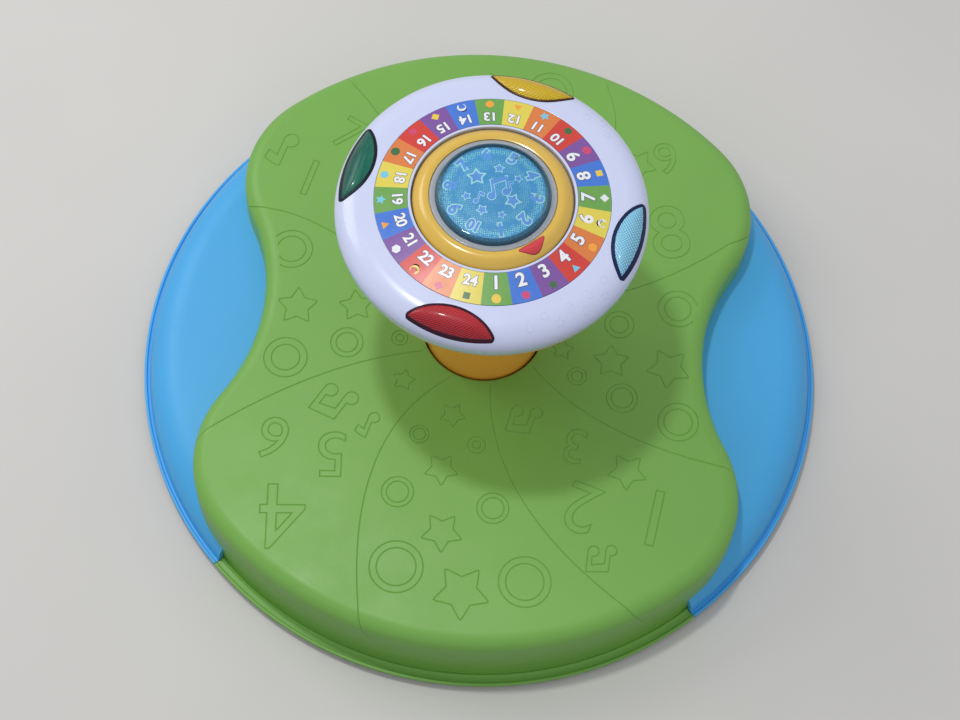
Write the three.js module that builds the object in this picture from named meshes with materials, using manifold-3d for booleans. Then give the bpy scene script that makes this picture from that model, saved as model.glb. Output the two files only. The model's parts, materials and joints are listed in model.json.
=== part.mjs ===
// A sit-and-spin ride-on toy: a saddle seat with two footrests turns round a fixed column, and the column
// carries a round console with lights, a printed dial, a pointer ring and a dome button.
// Millimetres, +Z up. The origin is on the floor on the column's axis. The seat's lobes lie along Y and its
// waist and footrests along X. Lens angles are counted from +X, anticlockwise seen from above.
import * as THREE from "three";
import { mergeVertices } from "three/addons/utils/BufferGeometryUtils.js";
import Module from "manifold-3d";

const wasm = await Module();
wasm.setup();

// Clearances
const gap = 0.3; // between pieces that touch
const overrun = 2; // how far a cutting tool passes its wall
const runningGap = 1.5; // round the column where the seat turns
const weld = 1; // how far joined shapes sink into each other
const mergeDistance = 1e-4; // corners nearer than this are one

// Facets round a full turn, multiples of four
const wideFacets = 40;
const mediumFacets = 24;
const smallFacets = 12;
const tinyFacets = 8;

// Floor base, with a raised roller track and a bearing spigot
const padHeight = 3.5;
const padRadius = 14;
const padInset = 22;
const padCount = 6;
const baseRadius = 170;
const baseThickness = 4;
const baseRimWall = 3;
const baseRimHeight = 12;
const trackInset = 32; // from the base's edge to the middle of the track
const trackWidth = 20;
const trackHeight = 2;
const bossRadius = 36;
const bossHeight = 20;
const bossFloor = 10;
const spigotRadius = 22;

// Bearing stack on the spigot
const washerThickness = 2;
const washerRadius = 33;
const bushingWall = 3;
const hubLength = 26;
const hubWall = 4;
const collarHeight = 6;
const collarRadius = 33;

// Centre post and its bolt
const postRadius = 12.5;
const postWall = 2;
const postPlug = 12;
const boltRadius = 4;
const boltHeadRadius = 7.5;
const boltHeadHeight = 5;
const boltHeadPlay = 1;

// Rollers under the platform
const rollerCount = 4;
const rollerRadius = 9;
const rollerWidth = 12;
const rollerSideGap = 0.5;
const axleRadius = 2.5;
const earThickness = 4;
const earWidth = 14;
const earDrop = 6;

// Footrest platform, the lower shell that turns
const rimRadius = 260;
const rimClearance = 5;
const rimEdgeHeight = 4;
const rimBeadWidth = 3;
const rimBeadHeight = 2;
const footrestHeight = 34;
const footrestWall = 3;
const footrestSlopeWidth = 24.5;
const rimChannelWidth = 4.5;
const footrestSteps = 3;
const platformLedge = 3; // from the platform's cut edge to the start of the slope
const junctionAngle = (47 * Math.PI) / 180; // from X: where the rim changes from footrest to seat
const junctionGap = 0.6;

// Seat shell
const seatHeight = 66;
const seatWall = 3;
const waistHalfWidth = 167;
const waistRadius = 150;
const lobeRadius = 85;
const endInset = 3.5; // of the seat's front and back wall from the footrests' foot
const shoulderWidth = 12;
const shoulderDrop = 12;
const shoulderSteps = 3;
const waistSteps = 3;
const lobeSteps = 6;
const endSteps = 5;
const wallDraft = 1.5;
const seatCollarDepth = 9;
const seatBossRadius = 5;
const seatScrewX = 70;
const seatScrewInset = 89;

// Column
const columnFootRadius = 44;
const columnWaistRadius = 36;
const columnTopRadius = 40;
const columnHeight = 140.5;
const columnFootHeight = 16;
const columnWaistHeight = 90;
const columnWall = 2.8;
const columnSteps = 3;

// Console shells
const shellWall = 2.6;
const bowlFlatMargin = 1.5; // from the battery box's corner to the bowl's curve
const bowlHeight = 28;
const bowlInset = 0.5; // of the bowl's edge from the upper shell's edge
const bowlSteps = 4;
const socketWall = 3;
const socketHeight = 22;
const consoleEdgeInset = 2.2;
const flankBulgeShare = 0.75;
const flankHeight = 11;
const consoleShoulderWidth = 20;
const consoleShoulderRise = 12.7;
const consoleShoulderSteps = 4;
const dialInnerBorder = 2; // between the well and the dial
const dialWidth = 21.6;
const dialOuterBorder = 7.4; // between the dial and the shoulder
const dialThickness = 0.8;
const dialRise = 3;
const dialEdgeRise = 0.7;
const wellPlay = 1.2; // round the pointer ring
const wellDepth = 9;
const wellFloor = 3.5;
const sleeveWall = 1.4;
const sleeveRise = 1;
const plungerHoleRadius = 6;

// Lenses
const lensCount = 4;
const lensTurn = (78.4 * Math.PI) / 180;
const lensHalfLength = 29.5;
const lensTipInset = 3.5; // of the tips from the console's edge
const lensInnerBorder = 2.9; // from the dial to the lens
const lensOuterInset = 1.5;
const lensBulge = 3;
const lensThickness = 2.4;
const lensSteps = 10;
const lensColumns = 4;

// Pointer ring and its arrow
const ringWidth = 11;
const ringPlay = 0.4;
const ringEdgeDrop = 1.8;
const ringCrown = 1.7;
const ringSteps = 3;
const arrowTurn = (-50 * Math.PI) / 180;
const arrowHalfWidth = 10.5;
const arrowBaseInset = 1.2; // from the ring's inner edge
const arrowTipInset = 2.4; // from the ring's outer edge
const arrowTipHalfWidth = 1.2;
const arrowDepth = 1.2;
const arrowProud = 0.25;

// Dome button
const domeRadius = 37.5;
const domeWall = 2.2;
const domeFlangeWidth = 2.1;
const domeFlangeHeight = 2;
const domeSideHeight = 6;
const domeRise = 3.8;
const domeRoundRadius = 3;
const domeRoundShare = 0.3;
const domeSteps = 3;
const domePlay = 0.4;
const bezelOverhang = 0.4; // over the sleeve
const bezelHeight = 1.9;
const domeTravel = 3;
const printDiscThickness = 1.5;
const plungerRadius = 3;
const springRadius = 14;
const springWire = 0.7;
const springTurns = 5;
const springStepsPerTurn = 8;
const springSides = 5;

// Electronics
const boardInset = 17; // from the console's edge
const boardThickness = 1.6;
const boardRise = 31.5;
const ledRadius = 2.5;
const ledHeight = 5;
const ledInset = 4; // from the board's edge
const switchBodySize = 8;
const switchBodyHeight = 3.6;
const switchButtonRadius = 2;
const switchButtonHeight = 1;
const speakerClearance = 4.2; // from the post's socket
const speakerRadius = 26;
const speakerFlange = 2;
const speakerConeHeight = 9;
const speakerMagnetRadius = 14;
const speakerMagnetHeight = 7;
const grilleSlots = 5;
const grilleSlotWidth = 3;
const grillePitch = 7;
const grilleInset = 6; // from the speaker's edge

// Battery compartment
const cellRadius = 7.25;
const cellLength = 50.5;
const cellCount = 3;
const cellPlay = 0.6;
const cellNubRadius = 2.7;
const cellNubLength = 1;
const boxWall = 2;
const boxClearance = 1.8;
const boxHeadroom = 1;
const lugWidth = 8;
const lugHeight = 12;
const doorScrewRadius = 1.2;
const doorScrewHeadRadius = 2.6;
const doorScrewHeadHeight = 1.4;
const doorScrewLength = 9;

// Console screws and seat screws
const screwInset = 16; // from the board's edge
const screwCount = 4;
const screwRadius = 1.5;
const screwHeadRadius = 3.1;
const screwHeadHeight = 2.4;
const screwHeadSetback = 0.5;
const screwBite = 9;
const screwPostRadius = 5.5;
const screwBossRadius = 4.2;
const seatScrewRadius = 2;
const seatScrewHeadRadius = 4.5;
const seatScrewHeadHeight = 2.6;
const seatScrewBite = 16;

// Power switch under the console
const switchY = -58;
const switchTravel = 6;
const sliderLength = 5;
const sliderWidth = 4;
const sliderProud = 2.5;
const sliderPlateLength = 20;
const sliderPlateWidth = 9;
const sliderPlateThickness = 1.6;

// Radii that follow from the sizes above
const trackRadius = baseRadius - trackInset;
const footrestFootRadius = rimRadius - rimBeadWidth - rimChannelWidth;
const footrestFlatRadius = footrestFootRadius - footrestSlopeWidth;
const platformInnerRadius = footrestFlatRadius - platformLedge;
const endRadius = footrestFootRadius - endInset;
const seatScrewY = endRadius - seatScrewInset;
const sleeveRadius = domeRadius + domeFlangeWidth + domePlay + sleeveWall;
const bezelRadius = sleeveRadius + bezelOverhang;
const ringInnerRadius = sleeveRadius + ringPlay;
const ringStepRadius = bezelRadius + ringPlay;
const ringOuterRadius = ringInnerRadius + ringWidth;
const arrowBaseRadius = ringStepRadius + arrowBaseInset;
const arrowTipRadius = ringOuterRadius - arrowTipInset;
const wellRadius = ringOuterRadius + wellPlay;
const dialInnerRadius = wellRadius + dialInnerBorder;
const dialOuterRadius = dialInnerRadius + dialWidth;
const shoulderStartRadius = dialOuterRadius + dialOuterBorder;
const consoleRadius = shoulderStartRadius + consoleShoulderWidth;
const consoleEdgeRadius = consoleRadius - consoleEdgeInset;
const bowlRadius = consoleEdgeRadius - bowlInset;
const lensTipRadius = consoleRadius - lensTipInset;
const lensInnerRadius = dialOuterRadius + lensInnerBorder;
const lensOuterRadius = consoleRadius - lensOuterInset;
const boardRadius = consoleRadius - boardInset;
const ledCircleRadius = boardRadius - ledInset;
const screwCircleRadius = boardRadius - screwInset;
const socketRadius = postRadius + gap + socketWall;
const speakerOffset = socketRadius + speakerClearance + speakerRadius;
const grilleRadius = speakerRadius - grilleInset;

// Battery compartment places that follow, shared by the lower shell, the box, the door and the cells
const cellPitch = 2 * cellRadius + cellPlay;
const cellStart = socketRadius + boxWall + boxClearance + cellPlay;
const cellsEnd = cellStart + cellLength + cellNubLength;
const doorStart = cellStart - cellPlay;
const doorEnd = cellsEnd + cellPlay;
const doorHalfWidth = (cellCount * cellPitch) / 2 + cellPlay;
const lugCentre = { x: (doorStart + doorEnd) / 2, y: doorHalfWidth + boxWall + lugWidth / 2 };
const bowlFlatRadius = Math.hypot(doorEnd + boxWall, doorHalfWidth + boxWall) + bowlFlatMargin;

// Heights that follow from the sizes above
const baseBottom = padHeight + gap;
const trackTop = baseBottom + baseThickness + trackHeight;
const bossTop = baseBottom + bossHeight;
const washerBottom = bossTop + gap;
const hubBottom = washerBottom + washerThickness + gap;
const hubTop = hubBottom + hubLength;
const collarBottom = hubTop + gap;
const spigotTop = collarBottom + collarHeight;
const bushingRadius = spigotRadius + gap + bushingWall;
const hubBore = bushingRadius + gap;
const axleHeight = trackTop + gap + rollerRadius;
const plateBottom = footrestHeight - footrestWall;
const rimTop = rimClearance + rimEdgeHeight;
const columnBottom = spigotTop + gap;
const columnTop = columnBottom + columnHeight;
const consoleBottom = columnTop + gap;
const consoleFloor = consoleBottom + shellWall;
const postBottom = baseBottom + bossFloor + gap;
const postTop = consoleBottom + socketHeight;
const splitHeight = consoleBottom + bowlHeight;
const flankTop = splitHeight + flankHeight;
const consoleShoulder = flankTop + consoleShoulderRise;
const dialOuterHeight = consoleShoulder + dialEdgeRise;
const dialInnerHeight = dialOuterHeight + dialRise;
const wellBottom = dialInnerHeight - wellDepth;
const wellUnderside = wellBottom - wellFloor;
const sleeveTop = dialInnerHeight + sleeveRise;
const bezelBottom = sleeveTop + gap;
const domeFlangeTop = sleeveTop;
const domeFlangeBottom = domeFlangeTop - domeFlangeHeight;
const boardBottom = consoleBottom + boardRise;
const boardTop = boardBottom + boardThickness;
const switchTop = boardTop + gap + switchBodyHeight + switchButtonHeight;
const seatHoleRadius = columnFootRadius + runningGap;
const ringTop = bezelBottom + bezelHeight;
const slotHalfLength = (sliderLength + switchTravel) / 2 + gap;
const cellHeight = consoleFloor + gap + cellRadius;

// Finishes
const finish = (color, roughness, metalness = 0) =>
  new THREE.MeshStandardMaterial({ color, roughness, metalness });
const clear = (color, opacity) => {
  const made = finish(color, 0.08);
  made.transparent = true;
  made.opacity = opacity;
  return made;
};
const greenPlastic = finish(0x7fbb52, 0.5);
const bluePlastic = finish(0x52a9e0, 0.5);
const whitePlastic = finish(0xe9e9fa, 0.3);
const orangePlastic = finish(0xe09a22, 0.4);
const yellowPlastic = finish(0xeab53c, 0.25);
const redPlastic = finish(0xd23a3a, 0.35);
const greyPlastic = finish(0x8a8d90, 0.6);
const blackPlastic = finish(0x1c1d1f, 0.6);
const blackRubber = finish(0x26272a, 0.9);
const steel = finish(0xb9bcc0, 0.35, 1);
const printedLabel = finish(0xd8a060, 0.45);
const boardGreen = finish(0x1f6b3a, 0.5);
const cellCase = finish(0x3a5fa8, 0.4, 0.3);
const clearBlue = clear(0x4fb0dc, 0.6);
const clearGrey = clear(0xd6dde2, 0.5);
const lensColours = { yellow: 0xe6b81e, green: 0x0f6b50, red: 0xc4232c, blue: 0x86cfe6 };

const toy = new THREE.Group();

function add(name, geometry, material) {
  const mesh = new THREE.Mesh(geometry, material);
  mesh.name = name;
  toy.add(mesh);
  return mesh;
}

// Solids
function solidOf(geometry) {
  const bare = geometry.clone();
  bare.deleteAttribute("normal");
  bare.deleteAttribute("uv");
  const merged = mergeVertices(bare, mergeDistance);
  const solid = new wasm.Manifold(
    new wasm.Mesh({
      numProp: 3,
      vertProperties: merged.attributes.position.array,
      triVerts: new Uint32Array(merged.index.array),
    }),
  );
  return solid;
}

function geometryOf(solid) {
  const mesh = solid.getMesh();
  const geometry = new THREE.BufferGeometry();
  geometry.setAttribute("position", new THREE.BufferAttribute(mesh.vertProperties, 3));
  geometry.setIndex(new THREE.BufferAttribute(mesh.triVerts, 1));
  return geometry;
}

function join(first, ...others) {
  return geometryOf(others.reduce((made, g) => made.add(solidOf(g)), solidOf(first)));
}

function cut(first, ...tools) {
  return geometryOf(tools.reduce((made, g) => made.subtract(solidOf(g)), solidOf(first)));
}

function common(first, second) {
  return geometryOf(solidOf(first).intersect(solidOf(second)));
}

// A solid of revolution about Z from a closed outline of [radius, height], in either direction.
function turned(outline, facets = mediumFacets) {
  const area = outline.reduce((sum, [r, z], i) => {
    const [nextR, nextZ] = outline[(i + 1) % outline.length];
    return sum + r * nextZ - nextR * z;
  }, 0);
  const points = (area > 0 ? outline : [...outline].reverse()).map(([r, z]) => new THREE.Vector2(r, z));
  const start = points.findIndex((p, i) => p.x === 0 && points.at(i - 1).x === 0);
  const ordered = start < 0 ? [...points, points[0]] : [...points.slice(start), ...points.slice(0, start)];
  return new THREE.LatheGeometry(ordered, facets).rotateX(Math.PI / 2);
}

function rod(radius, low, high, facets = smallFacets) {
  return new THREE.CylinderGeometry(radius, radius, high - low, facets)
    .rotateX(Math.PI / 2)
    .translate(0, 0, (low + high) / 2);
}

function tube(inner, outer, low, high, facets = mediumFacets) {
  return turned([[inner, low], [outer, low], [outer, high], [inner, high]], facets);
}

function block(x0, x1, y0, y1, z0, z1) {
  const box = new THREE.BoxGeometry(x1 - x0, y1 - y0, z1 - z0);
  return box.translate((x0 + x1) / 2, (y0 + y1) / 2, (z0 + z1) / 2);
}

// A prism along Z from a plan outline of [x, y].
function prism(outline, low, high) {
  const shape = new THREE.Shape(outline.map(([x, y]) => new THREE.Vector2(x, y)));
  const raised = new THREE.ExtrudeGeometry(shape, { depth: high - low, bevelEnabled: false, steps: 1 });
  return raised.translate(0, 0, low);
}

// A ring sector's prism, from one angle to another.
function sector(inner, outer, from, to, low, high, steps = smallFacets) {
  const angles = Array.from({ length: steps + 1 }, (_, i) => from + ((to - from) * i) / steps);
  const out = angles.map((a) => polar(outer, a));
  const back = angles.reverse().map((a) => polar(inner, a));
  return prism([...out, ...back], low, high);
}

// A closed body from rings of [x, y, z] points: the rings follow each other round the body's hole.
function looped(rings) {
  const size = rings[0].length;
  const positions = rings.flat(2);
  const index = [];
  rings.forEach((ring, i) => {
    const here = i * size;
    const next = ((i + 1) % rings.length) * size;
    ring.forEach((_, j) => {
      const k = (j + 1) % size;
      index.push(here + j, here + k, next + k, here + j, next + k, next + j);
    });
  });
  const geometry = new THREE.BufferGeometry();
  geometry.setAttribute("position", new THREE.Float32BufferAttribute(positions, 3));
  geometry.setIndex(index);
  return geometry;
}

// Points of a quarter ellipse from its flat end to its steep end, without the flat end itself.
function quarter(centreR, centreZ, reach, rise, steps, inward = false) {
  const points = Array.from({ length: steps }, (_, i) => {
    const t = ((i + 1) / steps) * (Math.PI / 2);
    return [centreR + reach * Math.sin(t), centreZ + rise * Math.cos(t)];
  });
  return inward ? points.reverse() : points;
}

// Evenly spaced angles of a full turn, and a place at a radius and angle.
const round = (count, first = 0) =>
  Array.from({ length: count }, (_, i) => first + (2 * Math.PI * i) / count);
const polar = (radius, angle) => [radius * Math.cos(angle), radius * Math.sin(angle)];

// Floor base, pads and post
function makeBase() {
  const plateTop = baseBottom + baseThickness;
  const floorTop = baseBottom + bossFloor;
  const body = turned(
    [
      [boltRadius + gap, baseBottom],
      [baseRadius, baseBottom],
      [baseRadius, baseBottom + baseRimHeight],
      [baseRadius - baseRimWall, baseBottom + baseRimHeight],
      [baseRadius - baseRimWall, plateTop],
      [trackRadius + trackWidth / 2, plateTop],
      [trackRadius + trackWidth / 2, trackTop],
      [trackRadius - trackWidth / 2, trackTop],
      [trackRadius - trackWidth / 2, plateTop],
      [bossRadius, plateTop],
      [bossRadius, bossTop],
      [spigotRadius, bossTop],
      [spigotRadius, spigotTop],
      [postRadius + gap, spigotTop],
      [postRadius + gap, floorTop],
      [boltRadius + gap, floorTop],
    ],
    mediumFacets,
  );
  const headRoomTop = baseBottom + boltHeadHeight + boltHeadPlay;
  const headRoom = rod(boltHeadRadius + gap, baseBottom - overrun, headRoomTop);
  add("floor_base", cut(body, headRoom), greyPlastic);
  round(padCount).forEach((angle, i) => {
    const pad = rod(padRadius, 0, padHeight);
    pad.translate(baseRadius - padInset, 0, 0).rotateZ(angle);
    add(`floor_pad_${i + 1}`, pad, blackRubber);
  });
  add(
    "centre_post",
    turned([
      [boltRadius + gap, postBottom],
      [postRadius, postBottom],
      [postRadius, postTop],
      [postRadius - postWall, postTop],
      [postRadius - postWall, postBottom + postPlug],
      [boltRadius + gap, postBottom + postPlug],
    ], smallFacets),
    steel,
  );
  const headTop = headRoomTop - gap;
  add(
    "post_bolt",
    turned([
      [0, headTop - boltHeadHeight],
      [boltHeadRadius, headTop - boltHeadHeight],
      [boltHeadRadius, headTop],
      [boltRadius, headTop],
      [boltRadius, postBottom + postPlug],
      [0, postBottom + postPlug],
    ], smallFacets),
    steel,
  );
}

function makeBearing() {
  const bore = spigotRadius + gap;
  add("thrust_washer", tube(bore, washerRadius, washerBottom, washerBottom + washerThickness), whitePlastic);
  add("hub_bushing", tube(bore, bushingRadius, hubBottom, hubTop), whitePlastic);
  add("retaining_collar", tube(bore, collarRadius, collarBottom, spigotTop), steel);
}

// The rim's raised bead, shared by the footrests and the seat.
const rimBead = () => [
  [rimRadius, rimClearance],
  [rimRadius, rimTop],
  [rimRadius - rimBeadWidth / 2, rimTop + rimBeadHeight / 2],
  [rimRadius - rimBeadWidth, rimTop],
  [footrestFootRadius, rimTop],
];

// The footrest's top from its flat middle down to the rim channel, raised by a clearance.
function footrestTop(raise, shrink = 0) {
  const reach = footrestFootRadius - footrestFlatRadius - shrink;
  const rise = footrestHeight - rimTop;
  return quarter(footrestFlatRadius, rimTop + raise, reach, rise, footrestSteps);
}

function footrestPlatform() {
  const under = footrestTop(-footrestWall, footrestWall).slice(0, -1);
  let body = turned(
    [
      [hubBore, hubBottom],
      [hubBore + hubWall, hubBottom],
      [hubBore + hubWall, plateBottom],
      [footrestFlatRadius, plateBottom],
      ...under,
      [footrestFootRadius - footrestWall, rimClearance],
      ...rimBead(),
      ...footrestTop(0).slice(0, -1).reverse(),
      [footrestFlatRadius, footrestHeight],
      [hubBore + hubWall, footrestHeight],
      [hubBore + hubWall, hubTop],
      [hubBore, hubTop],
    ],
    wideFacets,
  );
  const ends = [1, -1].map((side) =>
    sector(
      platformInnerRadius,
      rimRadius + overrun,
      side * (junctionAngle - junctionGap / rimRadius),
      side * (Math.PI - junctionAngle + junctionGap / rimRadius),
      rimClearance - overrun,
      footrestHeight + overrun,
    ),
  );
  const ears = round(rollerCount, Math.PI / rollerCount).flatMap((angle) =>
    [1, -1].map((side) => {
      const near = rollerWidth / 2 + rollerSideGap;
      const far = near + earThickness;
      return block(
        trackRadius + Math.min(side * near, side * far),
        trackRadius + Math.max(side * near, side * far),
        -earWidth / 2,
        earWidth / 2,
        axleHeight - earDrop,
        plateBottom + weld,
      ).rotateZ(angle);
    }),
  );
  const axleHoles = round(rollerCount, Math.PI / rollerCount).map((angle) =>
    new THREE.CylinderGeometry(axleRadius + gap, axleRadius + gap, axleLength() + 2 * overrun, smallFacets)
      .rotateZ(Math.PI / 2)
      .translate(trackRadius, 0, axleHeight)
      .rotateZ(angle),
  );
  const screwHoles = seatScrewPlaces().map(([x, y]) =>
    rod(seatScrewRadius + gap, plateBottom - overrun, footrestHeight + overrun, tinyFacets)
      .translate(x, y, 0),
  );
  body = cut(body, ...ends);
  body = join(body, ...ears);
  body = cut(body, ...axleHoles, ...screwHoles);
  return body;
}

const axleLength = () => rollerWidth + 2 * (rollerSideGap + earThickness);
const seatScrewPlaces = () =>
  [1, -1].flatMap((sideX) => [1, -1].map((sideY) => [sideX * seatScrewX, sideY * seatScrewY]));

function makeRollers() {
  round(rollerCount, Math.PI / rollerCount).forEach((angle, i) => {
    const seat = (geometry) =>
      geometry.rotateY(Math.PI / 2).translate(trackRadius, 0, axleHeight).rotateZ(angle);
    const wheel = tube(axleRadius + gap, rollerRadius, -rollerWidth / 2, rollerWidth / 2, smallFacets);
    add(`roller_${i + 1}`, seat(wheel), greyPlastic);
    add(`roller_axle_${i + 1}`, seat(rod(axleRadius, -axleLength() / 2, axleLength() / 2)), steel);
  });
}

// The seat's wall line in plan, with its outward direction: waist, lobe and end arcs, all tangent.
function seatLine() {
  const waistCentre = waistHalfWidth + waistRadius;
  const toWaist = waistRadius + lobeRadius;
  const toAxis = endRadius - lobeRadius;
  const lobeX = (toAxis ** 2 - toWaist ** 2 + waistCentre ** 2) / (2 * waistCentre);
  const lobeY = Math.sqrt(toAxis ** 2 - lobeX ** 2);
  const waistSweep = Math.atan2(lobeY, waistCentre - lobeX);
  const endStart = Math.atan2(lobeY, lobeX);
  const arc = (from, to, count, place) =>
    Array.from({ length: count }, (_, i) => place(from + ((to - from) * i) / count));
  const waist = arc(0, waistSweep, waistSteps, (t) => ({
    x: waistCentre - waistRadius * Math.cos(t),
    y: waistRadius * Math.sin(t),
    nx: Math.cos(t),
    ny: -Math.sin(t),
  }));
  const lobe = arc(-waistSweep, endStart, lobeSteps, (t) => ({
    x: lobeX + lobeRadius * Math.cos(t),
    y: lobeY + lobeRadius * Math.sin(t),
    nx: Math.cos(t),
    ny: Math.sin(t),
  }));
  const end = arc(endStart, Math.PI / 2, endSteps, (t) => ({
    x: endRadius * Math.cos(t),
    y: endRadius * Math.sin(t),
    nx: Math.cos(t),
    ny: Math.sin(t),
  }));
  const quadrant = [...waist, ...lobe, ...end];
  const top = { x: 0, y: endRadius, nx: 0, ny: 1 };
  const flipX = (p) => ({ x: -p.x, y: p.y, nx: -p.nx, ny: p.ny });
  const flipY = (p) => ({ x: p.x, y: -p.y, nx: p.nx, ny: -p.ny });
  const half = [...quadrant, top, ...quadrant.slice(1).reverse().map(flipX)];
  const waistLeft = flipX(quadrant[0]);
  return [...half, waistLeft, ...half.slice(1).reverse().map(flipY)];
}

function seatShell() {
  const foot = rimClearance;
  const rings = seatLine().map((p) => {
    const at = (offset, z) => [p.x + p.nx * offset, p.y + p.ny * offset, z];
    const spoke = (radius, z) => {
      return [...polar(radius, Math.atan2(p.y, p.x)), z];
    };
    const level = seatHeight - shoulderDrop;
    const shoulder = quarter(-shoulderWidth, level, shoulderWidth, shoulderDrop, shoulderSteps);
    const inside = quarter(
      -shoulderWidth,
      level,
      shoulderWidth - seatWall,
      shoulderDrop - seatWall,
      shoulderSteps - 1,
    ).reverse();
    return [
      spoke(seatHoleRadius, seatHeight),
      at(-shoulderWidth, seatHeight),
      ...shoulder.map(([offset, z]) => at(offset, z)),
      at(wallDraft, foot),
      at(wallDraft - seatWall, foot),
      ...inside.map(([offset, z]) => at(offset, z)),
      at(-shoulderWidth, seatHeight - seatWall),
      spoke(seatHoleRadius + seatWall, seatHeight - seatWall),
      spoke(seatHoleRadius + seatWall, seatHeight - seatCollarDepth),
      spoke(seatHoleRadius, seatHeight - seatCollarDepth),
    ];
  });
  const shell = looped(rings);
  const flangeStart = endRadius + wallDraft - seatWall;
  const flange = turned([[flangeStart, rimClearance], ...rimBead(), [flangeStart, rimTop]], wideFacets);
  const bosses = seatScrewPlaces().map(([x, y]) =>
    rod(seatBossRadius, footrestHeight + gap, seatHeight - seatWall + weld, tinyFacets).translate(x, y, 0),
  );
  const pilots = seatScrewPlaces().map(([x, y]) =>
    rod(seatScrewRadius + gap, footrestHeight - overrun, footrestHeight + seatScrewBite + overrun, tinyFacets)
      .translate(x, y, 0),
  );
  // What the footrests fill at either side is cut away, a gap clear of them.
  const footrestSpace = turned(
    [
      [0, rimClearance - overrun],
      [rimRadius + overrun, rimClearance - overrun],
      [rimRadius + overrun, rimTop + rimBeadHeight],
      [footrestFootRadius + gap, rimTop + rimBeadHeight],
      ...footrestTop(gap).slice(0, -1).reverse(),
      [footrestFlatRadius, footrestHeight + gap],
      [0, footrestHeight + gap],
    ],
    wideFacets,
  );
  const sides = [0, Math.PI].map((middle) =>
    sector(
      seatHoleRadius,
      rimRadius + 2 * overrun,
      middle - junctionAngle,
      middle + junctionAngle,
      rimClearance - 2 * overrun,
      footrestHeight + overrun,
      wideFacets / 2,
    ),
  );
  let body = join(shell, flange, ...bosses);
  body = cut(body, ...pilots, ...sides.map((side) => common(footrestSpace, side)));
  return body;
}

function makeSeat() {
  add("footrest_platform", footrestPlatform(), bluePlastic);
  add("seat_shell", seatShell(), greenPlastic);
  const headTop = plateBottom - gap;
  seatScrewPlaces().forEach(([x, y], i) => {
    const screw = turned([
      [0, headTop - seatScrewHeadHeight],
      [seatScrewHeadRadius, headTop - seatScrewHeadHeight],
      [seatScrewHeadRadius, headTop],
      [seatScrewRadius, headTop],
      [seatScrewRadius, footrestHeight + seatScrewBite],
      [0, footrestHeight + seatScrewBite],
    ], tinyFacets);
    add(`seat_screw_${i + 1}`, screw.translate(x, y, 0), steel);
  });
}

// The column cover's side: a straight foot, a gentle waist and a flare under the console.
function columnSide(inset) {
  const footTop = columnBottom + columnFootHeight;
  const waistAt = columnBottom + columnWaistHeight;
  const blend = (fromRadius, toRadius, low, high) =>
    Array.from({ length: columnSteps }, (_, i) => {
      const share = (i + 1) / columnSteps;
      const eased = (1 - Math.cos(Math.PI * share)) / 2;
      return [fromRadius + (toRadius - fromRadius) * eased - inset, low + (high - low) * share];
    });
  return [
    [columnFootRadius - inset, columnBottom],
    [columnFootRadius - inset, footTop],
    ...blend(columnFootRadius, columnWaistRadius, footTop, waistAt),
    ...blend(columnWaistRadius, columnTopRadius, waistAt, columnTop),
  ];
}

function makeColumn() {
  const bore = postRadius + gap;
  const inside = columnSide(columnWall).slice(1, -1);
  const outline = [
    [bore, columnBottom],
    ...columnSide(0),
    [bore, columnTop],
    [bore, columnTop - columnWall],
    [columnTopRadius - columnWall, columnTop - columnWall],
    ...inside.reverse(),
    [columnFootRadius - columnWall, columnBottom + columnWall],
    [bore, columnBottom + columnWall],
  ];
  add("column_cover", turned(outline, mediumFacets), orangePlastic);
}

const screwPlaces = () => round(screwCount, Math.PI / screwCount).map((a) => polar(screwCircleRadius, a));
const doorOutline = (grow) => [
  [doorStart - grow, -doorHalfWidth - grow],
  [doorEnd + grow, -doorHalfWidth - grow],
  [doorEnd + grow, doorHalfWidth + grow],
  [lugCentre.x + lugWidth / 2 + grow, doorHalfWidth + grow],
  [lugCentre.x + lugWidth / 2 + grow, lugCentre.y + lugWidth / 2 + grow],
  [lugCentre.x - lugWidth / 2 - grow, lugCentre.y + lugWidth / 2 + grow],
  [lugCentre.x - lugWidth / 2 - grow, doorHalfWidth + grow],
  [doorStart - grow, doorHalfWidth + grow],
];

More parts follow.
